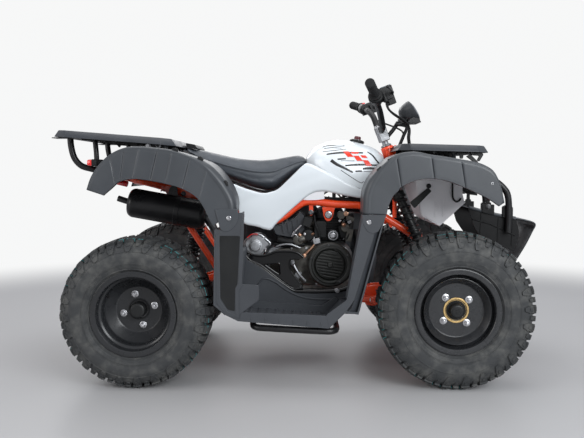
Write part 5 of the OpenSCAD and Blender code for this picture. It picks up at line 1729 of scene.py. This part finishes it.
def decal(tree, corners):
    """A four-cornered patch on the skin: p(u, v) = (1-v)((1-u) a + u b) + v((1-u) d + u c)."""
    a, b, c, d = pts(*corners)
    u, v = np.meshgrid(np.linspace(0, 1, 9), np.linspace(0, 1, 9), indexing="ij")
    u, v = u[..., None], v[..., None]
    grid = (1 - v) * ((1 - u) * a + u * b) + v * ((1 - u) * d + u * c)
    return surface(on_side(tree, grid.reshape(-1, 2), 0.75).reshape(9, 9, 3))


def body():
    """Tank cover, side panels, stripes and accents."""
    tank = piece("tank_shell", [loft(domed(tank_rings(), 5.0))], "chassis", WHITE, ("tank_cover",),
                 crease=50)
    piece("side_panel_skins", both([surface(panel_grid())]), "chassis", WHITE,
          ("side_panels",), wall=3.0, crease=60)
    bosses = [rod((-100, 163.9, 549.6), (-100, 171, 549.6), 8, 20)]
    for x, z in ((-206, 676), (240, 655)):
        bosses.append(rod((x, 150, z), (x, 170, z), 6, 16))
    piece("panel_bosses", both(bosses), "chassis", BLACK_PLASTIC)
    insert = rounded([(54, 618), (66, 631), (96, 647), (134, 651), (130, 640), (133, 622), (100, 618)], 4)
    piece("panel_inserts", both([slab(insert, 164, 168)]), "chassis", INNER_WHITE, edge=0.8)
    tree = BVHTree.FromObject(tank, bpy.context.evaluated_depsgraph_get())
    dark = [
        ([(140, 786), (190, 792), (275, 792)], [3.0, 4.2, 3.4]),
        ([(180, 768), (210, 770)], [3.4, 3.4]),
        ([(192, 762), (242, 762)], [1.2, 1.2]),
        ([(208, 745), (260, 748), (332, 746)], [3.0, 4.6, 3.2]),
        ([(273, 733), (300, 735), (332, 732)], [3.6, 5.4, 4.0]),
        ([(245, 724), (270, 725)], [3.2, 3.2]),
        ([(276, 723), (332, 723)], [1.1, 1.1]),
        ([(292, 796), (310, 783), (332, 755), (349, 743)], [1.6, 3.4, 4.0, 6.4]),
        ([(318, 702), (332, 720)], [4.6, 4.6]),
        ([(192, 728), (260, 684), (276, 685), (298, 669), (300, 655)], [1.4, 1.4, 1.4, 1.4, 2.4]),
        ([(284, 672), (298, 664)], [4.0, 5.0]),
        ([(126, 815), (150, 820), (184, 817), (208, 818)], [1.4, 2.2, 1.2, 2.2]),
        ([(132, 808), (160, 811), (196, 809)], [1.2, 1.6, 1.0]),
        ([(126, 796), (166, 800), (214, 806)], [1.0, 1.4, 1.0]),
        ([(156, 764), (176, 750), (204, 736), (236, 720)], [8.0, 6.4, 5.0, 3.0]),
    ]
    parts = [stripe(tree, line, [1.6 * w for w in width]) for line, width in dark]
    parts += [mirrored(p) for p in parts]
    piece("tank_stripes", parts, "chassis", DECAL_BLACK, wall=0.25)
    red = [
        ((200, 797), (222, 797), (240, 776), (218, 776)), ((228, 795), (262, 794), (256, 788), (234, 788)),
        ((238, 781), (258, 781), (274, 761), (252, 761)), ((272, 765), (292, 764), (308, 743), (286, 743)),
        ((264, 783), (284, 782), (292, 772), (272, 773)),
    ]
    parts = [decal(tree, corners) for corners in red]
    parts += [mirrored(p) for p in parts]
    piece("tank_accents", parts, "chassis", DECAL_RED, wall=0.25)
    groove = stripe(tree, [(86, 745), (140, 716), (200, 686), (262, 660)], [1.6, 1.6], 0.2)
    piece("tank_seams", both([groove]), "chassis", BLACK_PLASTIC, wall=0.2)


def cap():
    """The fuel cap with its ribbed rim and knob."""
    axis = (math.sin(math.radians(10)), 0, math.cos(math.radians(10)))
    at = (262, 0, 833.6)
    rim = [lathe(fillet([(0.4, 12), (24, 12), (27, 9), (27, 2), (25, 0), (0.4, 0)], 1.4), at, axis, 48)]
    for k in range(24):
        a = k * math.pi / 12
        foot = np.array(at) + facing(axis) @ np.array([27 * math.cos(a), 27 * math.sin(a), 2.0])
        rim.append(rod(foot, foot + np.array(axis) * 7, 1.3, 8))
    piece("fuel_cap_rim", rim, "chassis", BLACK_PLASTIC, ("fuel_cap",))
    knob = lathe(fillet([(0.4, 26), (11, 26), (13, 23), (13, 11), (0.4, 11)], 1.4), at, axis, 32)
    piece("fuel_cap_knob", [knob], "chassis", KNOB_BROWN)
    shine = lathe([(14, 12), (20, 12), (20, 13.2), (14, 13.2)], at, axis, 40, loop=True)
    piece("fuel_cap_ring", [shine], "chassis", ALLOY)


def fascia():
    """Inner front panels with their boss, strap and breather, and the sheet between them."""
    line = rounded([(452, 773), (476, 768), (568, 755), (636, 740), (638, 640), (646, 612), (552, 524),
                    (486, 562)], 7, 4)
    plates = [slab(line, 164, 168)]
    plates.append(slab(rounded([(486, 690), (540, 690), (540, 652), (500, 640), (484, 652)], 6), 168, 170.5))
    plates.append(slab(rounded([(478, 640), (556, 600), (556, 536), (550, 530), (488, 566)], 6), 168, 169.6))
    for x in (506, 536, 566):
        plates.append(slab([(x - 1, 620), (x + 1, 620), (x + 1, 556), (x - 1, 556)], 169, 170.8))
    both_plates = both(plates) + [slab([(646, 612), (552, 524), (556, 522), (650, 610)], -163.6, 163.6)]
    piece("fascia_panels", both_plates, "chassis", INNER_WHITE, ("front_fascia",), edge=0.8)
    dark = [
        rod((513, 168, 670), (513, 176, 670), 9, 24, 2),
        slab(rounded([(444, 610), (462, 588), (524, 652), (510, 664)], 5), 171, 175),
        tube(smooth([(600, 172, 684), (600, 173, 650), (602, 174, 626), (614, 174, 613), (626, 173, 618),
                     (630, 172, 626)], 6), 3.4, 10),
        slab(rounded([(622, 680), (690, 650), (694, 634), (640, 650)], 4), 40, 164),
    ]
    piece("fascia_fittings", both(dark), "chassis", BLACK_PLASTIC, edge=0.8)



seat()
body()
cap()
fascia()


# ---------- racks, lights, bumper and step bars ----------


def rack_plate(x0, x1, w, z0, z1, edge, cut, ribs):
    """A rack's plate: a loop with cut corners that slopes out to its lower edge, ribbed on top."""
    def loop(o, drop):
        """The outline o mm inside the edge and drop mm below the top."""
        c = cut
        q = [(x0 + o, -w / 2 + c), (x0 + c, -w / 2 + o), (x1 - c, -w / 2 + o), (x1 - o, -w / 2 + c),
             (x1 - o, w / 2 - c), (x1 - c, w / 2 - o), (x0 + c, w / 2 - o), (x0 + o, w / 2 - c)]
        q = rounded(q, 5, 3)
        z = mix(z0, z1, (q[:, 0] - x0) / (x1 - x0)) - drop
        return np.column_stack([q, z])

    inset = edge * 0.7
    rings = [loop(0, edge), loop(1.0, edge - 3), loop(inset - 2.5, 1.6), loop(inset, 0.4), loop(inset + 4, 0)]
    top = loop(inset + 16, 0)
    inner = [loop(inset + 16, 2.2), loop(inset + 30, 2.2)]
    under = [loop(6, edge), loop(inset + 8, 7), loop(inset + 40, 7)]
    parts = [loft(under[::-1] + rings + [top] + inner)]
    lift = lambda x: np.interp(x, [x0, x1], [z0, z1])
    for k in range(ribs):
        y = (k - (ribs - 1) / 2) * (w - 130) / (ribs - 1)
        a, b = x0 + inset + 44, x1 - inset - 44
        mid = (a + b) / 2
        slope = math.atan2(z0 - z1, x1 - x0)
        parts.append(block((mid, y, float(lift(mid)) - 1.2), (b - a, 14, 3.0), about((0, 1, 0), slope)))
    return parts, lift


def underside(x0, x1, w, lift, n):
    """Stiffening webs and small hooks under a rack's plate."""
    parts = []
    for y in (-w / 2 + 34, -w / 6, w / 6, w / 2 - 34):
        mid = (x0 + x1) / 2
        slope = math.atan2(float(lift(x0) - lift(x1)), x1 - x0)
        parts.append(block((mid, y, float(lift(mid)) - 15), (x1 - x0 - 70, 4, 17), about((0, 1, 0), slope)))
    for k in range(n):
        x = x0 + 60 + k * (x1 - x0 - 120) / (n - 1)
        z = float(lift(x)) - 22
        for s in (-1, 1):
            tooth = [(x - 9, z), (x + 9, z), (x + 4, z - 9), (x, z - 11), (x - 3, z - 9)]
            parts.append(slab(tooth, s * (w / 2 - 30) - 3, s * (w / 2 - 30) + 3))
        parts.append(block((x, 0, z + 10), (4, w - 80, 14)))
    return parts


def racks():
    """Both racks, with their webs and bolts."""
    parts, lift = rack_plate(-808, -386, 740, 867, 834, 24, 46, 9)
    for x in (-500, -430):
        for s in (-1, 1):
            z = float(lift(x))
            parts.append(rod((x, 300 * s, 803.3 if x < -450 else 799.3), (x, 300 * s, z - 6), 12, 20, 1))
    piece("rear_rack_plate", parts, "chassis", BLACK_RACK, ("rear_rack",), edge=0.8)
    webs = underside(-808, -386, 740, lift, 5)
    webs += [block((-520, 318 * s, 818), (44, 26, 12)) for s in (-1, 1)]
    webs += [block((-455, 322 * s, 812), (30, 22, 12), about((0, 1, 0), 0.3)) for s in (-1, 1)]
    piece("rear_rack_webs", webs, "chassis", BLACK_PLASTIC)
    bits = []
    for s in (-1, 1):
        for x in (-480, -445):
            bits += hex_bolt((x, 334 * s, 812), (0, s, 0), 12, 6)
    piece("rear_rack_bolts", bits, "chassis", STEEL)
    parts, lift = rack_plate(388, 708, 590, 822, 813, 24, 42, 7)
    for x, low in ((480, 775.2), (610, 754.2)):
        for s in (-1, 1):
            parts.append(rod((x, 120 * s, low), (x, 120 * s, float(lift(x)) - 6), 12, 20, 1))
    piece("front_rack_plate", parts, "chassis", BLACK_RACK, ("front_rack",), edge=0.8)
    webs = underside(388, 708, 590, lift, 4)
    for s in (-1, 1):
        y = 252 * s
        webs.append(slab(rounded([(640, 792), (682, 794), (690, 782), (676, 758), (668, 762), (676, 778),
                                  (648, 780)], 3), y - 6, y + 6))
        webs.append(slab(rounded([(630, 776), (664, 750), (672, 756), (644, 784)], 3), y - 6, y + 6))
        webs.append(slab(rounded([(604, 796), (622, 796), (618, 768), (608, 768)], 3), y - 5, y + 5))
    piece("front_rack_webs", webs, "chassis", BLACK_PLASTIC, edge=0.6)


def rear_end():
    """Rack hoop, tail lights and hitch bolts."""
    half = pts((-775, 250, 857), (-773, 250, 815), (-762, 250, 772), (-738, 250, 744), (-705, 249, 733),
               (-680, 238, 727), (-664, 205, 722), (-661.4, 150, 719), (-661.4, 60, 717), (-661.4, 0, 717))
    path = smooth(np.concatenate([half, half[-2::-1] * [1, -1, 1]]), 5)
    parts = [tube(path, 11, 18)]
    parts += both([tube([(-688, 250, 850), (-683, 250, 790), (-681, 250, 740)], 9, 16)])
    parts += both([slab(rounded([(-819, 838.2), (-762, 838.2), (-760, 841), (-818, 841)], 0.8), 258, 318)])
    parts += both([block((-768, 288, 846), (6, 50, 14))])
    piece("hoop_tubes", parts, "chassis", BLACK_PAINT, ("rack_tubes",))
    shells, lens = [], []
    for s in (1, -1):
        y0, y1 = 259.3, 349.3
        house = loft([np.array([(x, s * y, z) for y,
                                z in rounded([(y0 + e, 741 + e), (y1 - e, 741 + e), (y1 - e, 765 - e),
                      (y0 + e, 765 - e)], 5, 4)]) for x, e in ((-656, 0), (-672, 0), (-674, 1.5))])
        shells.append(house)
        lens.append(loft([np.array([(x, s * y, z) for y, z in rounded([(y0 + e, 741 + e), (y1 - e, 741 + e),
                    (y1 - e, 765 - e), (y0 + e, 765 - e)], 5, 4)]) for x,
                          e in ((-673, 1), (-684, 1.5), (-689, 4))]))
        for k in range(6):
            y = s * (y0 + 12 + k * 13)
            lens.append(rod((-689, y, 753), (-689.8, y, 753), 4.4, 14))
    piece("tail_light_housings", shells, "chassis", BLACK_PLASTIC)
    piece("tail_light_lenses", lens, "chassis", LAMP_RED, ("tail_lights",))
    piece("hitch_bolts", hex_bolt((-560, 14, 256), (0, 0, 1), 13, 7) + hex_bolt((-560, -14, 256), (0, 0, 1),
            13, 7), "chassis", STEEL)


def bumper():
    """Side plates, tabs, shell, decks and hoops of the bumper."""
    y = 158.0
    side = [(662, 590), (700, 583), (760, 566), (838, 550), (852, 500), (836, 428), (778, 450), (716, 474),
            (684, 520)]
    plates = [slab(rounded(side, 3), y - 8, y - 4),
              tube([(676, y - 5, 548), (744, y - 4, 530), (838, y - 4, 486)], 3, 8)]
    for x, z0, z1 in ((708, 492, 572), (772, 466, 556), (824, 448, 546)):
        plates.append(slab([(x - 2, z0), (x + 2, z0), (x + 5, z1), (x + 1, z1)], y - 5, y - 1.5))
    tabs = [
        slab(rounded([(712, 574), (712, 602), (722, 602), (722, 610), (744, 610), (744, 602), (756, 602),
                      (756, 564)], 3), y - 6, y + 6),
        slab(rounded([(786, 556), (786, 594), (798, 600), (816, 600), (824, 590), (824, 548)], 3), y - 6,
             y + 8),
        slab(rounded([(726, 604), (740, 604), (738, 642), (728, 642)], 3), y - 5, y + 5),
    ]
    # side plates and tabs: black plastic whose extra darkness is painted shade
    piece("bumper_frames", both(plates + tabs), "chassis", BUMPER_BLACK_AND_SHADE, ("front_bumper",), edge=0.8)
    # the shell across the front: from side to side, curved in plan
    line = smooth([(838, 552), (880, 545), (921, 531), (910, 500), (888, 455), (870, 424), (856, 401)], 5)
    yy = np.linspace(-y, y, 33)
    bow = 14 * (np.abs(yy) / y) ** 4
    grid = np.stack([line[:, 0][:, None] - bow[None, :] * 0.9, np.broadcast_to(yy[None, :], (len(line), 33)),
                     np.broadcast_to(line[:, 1][:, None], (len(line), 33))], -1)
    piece("bumper_shell", [surface(grid)], "chassis", CHARCOAL, wall=3)
    deck = smooth([(662, 594), (700, 584), (760, 568), (838, 553)], 5)
    strip = np.stack([np.stack([deck[:, 0], np.full(len(deck), q), deck[:, 1] + h], -1) for q, h in (
        (y - 44, 0.0), (y - 26, 2.5), (y - 8, 3.0), (y - 2, 1.0), (y - 0.4, -7))], 1)
    piece("bumper_decks", both([surface(strip)]), "chassis", CHARCOAL, wall=2.4)
    tubes = smooth([(690, 170.3, 702), (722, 170.3, 698), (752, 170.3, 690), (785, 170.3, 664),
                    (803, 170.3, 632), (808, 170.3, 560), (806, 170.3, 500)], 6)
    parts = both([tube(tubes, 12, 18)])
    piece("bumper_hoops", parts, "chassis", BLACK_PAINT, ("bumper_tubes",))
    bolts = []
    for x, z in ((806, 520), (734, 594)):
        bolts += hex_bolt((x, y + (12 if x > 800 else 6), z), (0, 1, 0), 13, 6)
    piece("bumper_bolts", both(bolts), "chassis", DARK_STEEL)


STEP = pts(
    (-114, 164.3, 236), (-114, 178, 234), (-114, 228, 214), (-115, 300, 212), (-116, 400, 205),
    (-102, 434, 202), (-60, 442, 200), (110, 442, 191), (152, 434, 190), (166, 400, 191), (166, 300, 194),
    (166, 228, 200), (166, 178, 232), (166, 164.3, 236),
)


racks()
rear_end()
bumper()
piece("smooth_step_bars", both([tube(smooth(STEP, 6), 11, 18)]), "chassis", BLACK_PAINT, ("step_bars",))


# ---------- steering ----------

SEAT_W = 98.3
BAR = pts((0, 0, 0), (0, 55, 0), (2, 88, 14), (5, 122, 62), (0, 165, 92), (-9, 270, 118), (-30, 400, 152))


def bar_place(p):
    """A place given from the middle of the handlebar's seat, in the stem's axes."""
    p = np.asarray(p, float)
    return stem(p[..., 0], p[..., 1], p[..., 2] + SEAT_W)


def on_bar(parts):
    """Parts drawn from the bar's seat, in their place."""
    return [(bar_place(p), f) for p, f in parts]


def steering():
    """Handlebar, yoke, pitman plate, grips, controls and headlamp."""
    body = "steering"
    half = np.concatenate([smooth(BAR[:5], 7), BAR[5:]])
    path = np.concatenate([half[:0:-1] * [1, -1, 1], half])
    piece("bar_tube", on_bar([tube(path, 12, 20)]), body, BLACK_PAINT, ("handlebar",))
    # clamp: two blocks with four bolts over the stem's yoke
    yoke = [block((0, 0, 69), (34, 96, 34))]
    yoke += [block((0, s * 30, 98), (36, 34, 30)) for s in (-1, 1)]
    yoke += [rod((0, 0, -440), (0, 0, 54), 12.5, 28)]
    lower = [
        slab_z(rounded([(-72, -18), (14, -18), (14, 18), (-72, 18)], 8), -440, -432),
        rod((-72, 18, -440), (-72, 18, -432), 13, 24), rod((-72, -18, -440), (-72, -18, -432), 13, 24),
        rod((-72, 18, -458), (-72, 18, -438), 5, 16), rod((-72, -18, -458), (-72, -18, -438), 5, 16),
    ]
    piece("stem_and_yoke", [on_stem(q) for q in yoke], body, ALLOY, ("steering_stem",), edge=3.0)
    piece("pitman_plate", [on_stem(q) for q in lower], body, DARK_STEEL, edge=0.6)
    bolts = []
    for s in (-1, 1):
        for u in (-12, 12):
            for q in hex_bolt((u, s * 30, 113), (0, 0, 1), 10, 7):
                bolts.append(on_stem(q))
    piece("clamp_bolts", bolts, body, STEEL)
    # grips: ribbed rubber with a flange and a plain end
    d = (BAR[6] - BAR[5]) / np.linalg.norm(BAR[6] - BAR[5])
    n = np.linalg.norm(BAR[6] - BAR[5])
    h = np.linspace(14, n - 4, 66)
    wave = 16.2 + 0.8 * np.sign(np.sin(h * 2 * math.pi / 7.6))
    profile = [(12.4, 6), (21.5, 6), (22.5, 8), (22.0, 11), (17, 13)] + list(zip(wave, h)) + [(17, n - 1),
            (15, n + 1), (12.4, n + 1)]
    grip = [lathe(profile, BAR[5], d, 36, loop=True), rod(BAR[6] - 2 * d, BAR[6] + 1.5 * d, 14, 28, 1.5)]
    piece("grip_sleeves", on_bar(both(grip)), body, RUBBER, ("grips",))
    controls(body)
    lamp(body)


def controls(body):
    """Switch pods, brake perches with their reservoir, levers, and the choke and kill switches."""
    a = BAR[4]
    e = (BAR[5] - a) / np.linalg.norm(BAR[5] - a)
    pods = []
    # right side: throttle pod with its cover, then the brake perch
    right_side = [
        lathe(fillet([(12.4, 66), (24, 66), (27, 70), (27, 92), (23, 98), (12.4, 98), (12.4, 66)], 3), a, e,
              32),
        lathe(fillet([(12.4, 28), (19, 28), (20, 32), (20, 62), (18, 66), (12.4, 66), (12.4, 28)], 2), a, e,
              32),
    ]
    block_at = a + e * 48
    right_side.append(block(block_at + [28, 0, 0], (56, 56, 30)))
    right_side.append(block(block_at + [42, 6, 18], (44, 42, 26)))
    right_side.append(block(block_at + [50, -4, -18], (26, 40, 34)))
    right_side.append(rod(block_at + [40, -28, 4], block_at + [40, 24, 4], 12, 24, 3))
    right_side.append(rod(block_at + [26, 34, -22], block_at + [26, 34, 12], 9, 20, 2))
    pods += [mirrored(q) for q in right_side]
    left_side = [
        lathe(fillet([(12.4, 52), (20, 52), (23, 56), (23, 94), (20, 98), (12.4, 98), (12.4, 52)], 3), a, e,
              32),
        block(block_at + [12, 22, 2], (54, 50, 40)),
        block(block_at + [36, 4, -4], (34, 44, 36)),
        rod(block_at + [18, 22, 14], block_at + [18, 22, 26], 13, 24, 3),
        rod(block_at + [40, -24, 0], block_at + [40, 20, 0], 11, 24, 3),
    ]
    pods += left_side
    piece("control_pods", on_bar(pods), body, BLACK_PLASTIC, ("bar_controls",), edge=3.0, steps=3)
    cap_parts = [block([1, -1, 1] * (block_at + [42, 6, 32]), (38, 36, 4)),
                 mirrored(rod(a + e * 70 + [0, 0, 25], a + e * 94 + [0, 0, 25], 4, 12, 1))]
    piece("reservoir_caps", on_bar(cap_parts), body, GREY_BLUE, edge=1.0)
    switch = [rod(block_at + [2, 26, 24], block_at + [2, 26, 33], 6.5, 18, 1.5),
              mirrored(rod(block_at + [14, 30, 12], block_at + [14, 38, 14], 5, 16, 1))]
    piece("stop_switch", on_bar(switch), body, LAMP_RED)
    # levers: flattened blades that bend ahead of the grips and end in a ball
    root = a + 34 * e + [49.3 + 6, 32, 4]
    blade = smooth([root + [-6, -26, -3], root, root + [2, 24, 3], root + [-8, 64, 11], root + [-19, 104, 18],
                    root + [-24, 120, 20]], 6)
    wide = np.interp(np.linspace(0, 1, len(blade)), [0, 0.2, 0.8, 1], [6.5, 6.0, 4.6, 4.4])
    levers = both([tube(blade, wide, 12, flat=0.7), ball(root + [-24, 121, 20], 5.6)])
    piece("lever_blades", on_bar(levers), body, BLACK_PAINT, ("brake_levers",))
    screws = []
    for s in (1, -1):
        at = (block_at + [40, 0, 12]) * [1, s, 1]
        screws += [rod(at, at + [0, 0, 5], 4, 12, 0.8),
                   rod(at + [-16, 10 * s, 2], at + [-16, 10 * s, 6], 3, 10, 0.6)]
        p = root * [1, s, 1]
        screws.append(rod(p + [-2, 0, -9], p + [-2, 0, 10], 3.4, 12, 0.8))
    piece("control_screws", on_bar(screws), body, STEEL)


def lamp(body):
    """Headlamp pod: a shell that narrows to the back, its lens, a dark chin and the bracket to the yoke."""
    def ring(x, z, half, tall):
        """One ring of the pod, half mm to each side and tall mm up and down."""
        a = np.linspace(0, 2 * math.pi, 28, endpoint=False)
        c, s = np.cos(a), np.sin(a)
        u = np.sign(c) * np.abs(c) ** 0.6 * half
        v = np.sign(s) * np.abs(s) ** 0.7 * tall
        # the ring lies in the plane of the lens, which leans back
        lean = math.radians(31)
        return np.stack([x - v * math.sin(lean), u, z + v * math.cos(lean)], -1)

    shell = [ring(430, 938, 20, 10), ring(436, 940, 40, 22), ring(446, 943, 56, 33), ring(462, 948, 66, 41),
             ring(474, 952, 71, 45), ring(478, 953.5, 71.5, 46)]
    shell = [np.clip(q, [422, -72, 906], [503, 72, 997]) for q in shell]
    piece("headlamp_shell", [loft(shell)], body, CHARCOAL_DARK, ("headlight",))
    lens = [ring(477, 953, 66, 41), ring(481, 955, 64, 39), ring(484, 956, 56, 33), ring(486, 957, 36, 20),
            ring(486.5, 957, 8, 5)]
    lens = [np.clip(q, [422, -72, 906], [503, 72, 997]) for q in lens]
    piece("headlamp_lens", [loft(lens)], body, LENS_GREY)
    chin = loft([np.array([(x, y, z) for x, z in rounded([(486, 936), (502, 909), (470, 908), (450, 911),
                                                          (462, 924)], 3, 3)])
                 for y in (-62, -40, 40, 62)])
    bracket = [
        tube([stem(18, 0, 66), stem(48, 0, 84), stem(74, 0, 104)], 8, 14, flat=0.6),
        tube([(420, -30, 900), (446, -34, 918), (462, -36, 930)], 4, 10),
        tube([(420, 30, 900), (446, 34, 918), (462, 36, 930)], 4, 10),
        slab(rounded([(424, 930), (452, 926), (468, 908), (444, 907), (422, 915)], 4), -26, 26),
    ]
    piece("headlamp_bracket", [chin] + bracket, body, BLACK_PLASTIC, edge=0.8)


def cables():
    """Brake, throttle and switch leads: from the bar to the chassis."""
    a = BAR[4]
    e = (BAR[5] - a) / np.linalg.norm(BAR[5] - a)
    at = a + e * 48
    pod_r = bar_place((at + [30, 20, -12]) * [1, -1, 1])
    pod_l = bar_place(at + [20, 0, -14])
    routes = [
        (4.0, smooth([pod_r, pod_r + [14, 6, -38], (446, -96, 900), (450, -70, 850), (462, -46, 806),
                      (470, -40, 786)], 8)),
        (3.0, smooth([pod_r + [6, 22, 4], pod_r + [20, 34, -40], (452, -70, 896), (458, -60, 846),
                      (466, -52, 800), (468, -44, 786)], 8)),
        (3.4, smooth([pod_l, pod_l + [16, -10, -34], (444, 60, 884), (436, 34, 838), (426, 10, 806),
                      (432, -22, 786)], 8)),
    ]
    for k, (r, path) in enumerate(routes):
        lead = piece(f"bar_lead_{k + 1}", [tube(path, r, 10)], None, RUBBER)
        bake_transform(lead)
    loom = smooth([stem(60, -8, 100), (452, -16, 896), (440, -22, 860), (426, -26, 826), (416, -30, 800),
                   (420, -36, 784)], 8)
    wires = piece("lamp_loom", [tube(loom, 6.5, 12)], None, RUBBER)
    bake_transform(wires)
    fixed = [
        tube(smooth([(470, -40, 788), (474, -36, 776), (470, -30, 762), (452, -30, 748)], 5), 4.0, 10),
        tube(smooth([(420, -36, 786), (418, -40, 774), (424, -44, 760)], 5), 6.5, 12),
    ]
    piece("lead_ends", fixed, "chassis", RUBBER)


def head_post():
    """The steering head: its tube, cross plate, lugs, posts and the lower bearing sleeve."""
    post_foot, post_top = pts((338, 150, 565), (387, 24, 756))
    up = (post_top - post_foot) / np.linalg.norm(post_top - post_foot)
    head = [
        lathe(fillet([(12.7, -42), (24, -42), (24, 30), (12.7, 30), (12.7, -42)], 2.5), (0, 0, 0), (0, 0, 1),
              40),
        lathe(fillet([(12.7, -425), (22, -425), (22, -391), (12.7, -391), (12.7, -425)], 2), (0, 0, 0),
              (0, 0, 1), 40),
        block((-5, 0, -31), (30, 72, 22)),
        block((10, 0, 22), (44, 60, 5)),
        slab(rounded([(16, 24), (30, 22), (28, 2), (18, -8)], 3), -30, -25),
        slab(rounded([(16, 24), (30, 22), (28, 2), (18, -8)], 3), 25, 30),
    ]
    head += both([tube([(0, 14, -408), (14, 105, -386)], 8, 14)])
    parts = [on_stem(q) for q in head]
    parts += both([tube([post_foot + 17.7 * up, post_top], 11.2, 18)])
    piece("head_tube", parts, "chassis", PAINT, ("steering_head",), edge=0.8)
    nuts = []
    for s in (-1, 1):
        nuts += [on_stem(q) for q in hex_bolt((23, 30 * s, 12), (0, s, 0), 11, 6)]
    piece("head_bolts", nuts, "chassis", STEEL)
    cups = [on_stem(lathe([(13, 30), (19, 30), (21, 33), (19, 38), (13, 40)], (0, 0, 0), (0, 0, 1), 32))]
    piece("bearing_cap", cups, "steering", ALLOY)


def rods():
    """Tie rods: a tube with a thinner threaded end, a lock nut, and an eye at each end."""
    inner = stem(-72, 18, -448)
    outer = np.array([482, KINGPIN_Y, FRONT_R + 30 + 7.3])
    d = (outer - inner) / np.linalg.norm(outer - inner)
    bar_part = rod(inner + 16 * d, outer - 34 * d, 6, 18, 2)
    thread = rod(outer - 36 * d, outer - 10 * d, 5, 14)
    nut = lathe([(7.5, 0), (8.4, 1), (8.4, 7), (7.5, 8)], outer - 42 * d, d, 6)
    eye_in = lathe(fillet([(5.2, -7.6), (12, -7.6), (13, -6), (13, 6), (12, 7.4), (5.2, 7.4), (5.2, -7.6)],
                          1), (0, 0, 0), (0, 0, 1), 28)
    eye_in = (stem(eye_in[0][:, 0] - 72, eye_in[0][:, 1] + 18, eye_in[0][:, 2] - 447.8), eye_in[1])
    eye_out = lathe(fillet([(8.0, -7), (10.5, -7), (11.5, -5), (11.5, 5), (10.5, 7), (8.0, 7), (8.0, -7)],
                           1), outer, (0, 0, 1), 28)
    for side, end in ((1, "left"), (-1, "right")):
        pick = list if side > 0 else right
        name = f"tie_rod_{'l' if side > 0 else 'r'}"
        piece(f"tie_rod_bar_{end}", pick([bar_part, thread, eye_in, eye_out]), name, ZINC_GREY,
              (f"tie_rod_{end}",))
        piece(f"tie_rod_nut_{end}", pick([nut]), name, STEEL)



steering()
cables()
head_post()
rods()


# ---------- what is left of the CAD, in its finishes ----------

for node, finish in (
    ("rear_stays", PAINT), ("cross_tubes", PAINT), ("shock_towers", PAINT), ("tow_hitch", BLACK_PAINT),
    ("rear_axle", DARK_STEEL),
):
    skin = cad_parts[node]
    skin.data.materials.clear()
    skin.data.materials.append(finish)
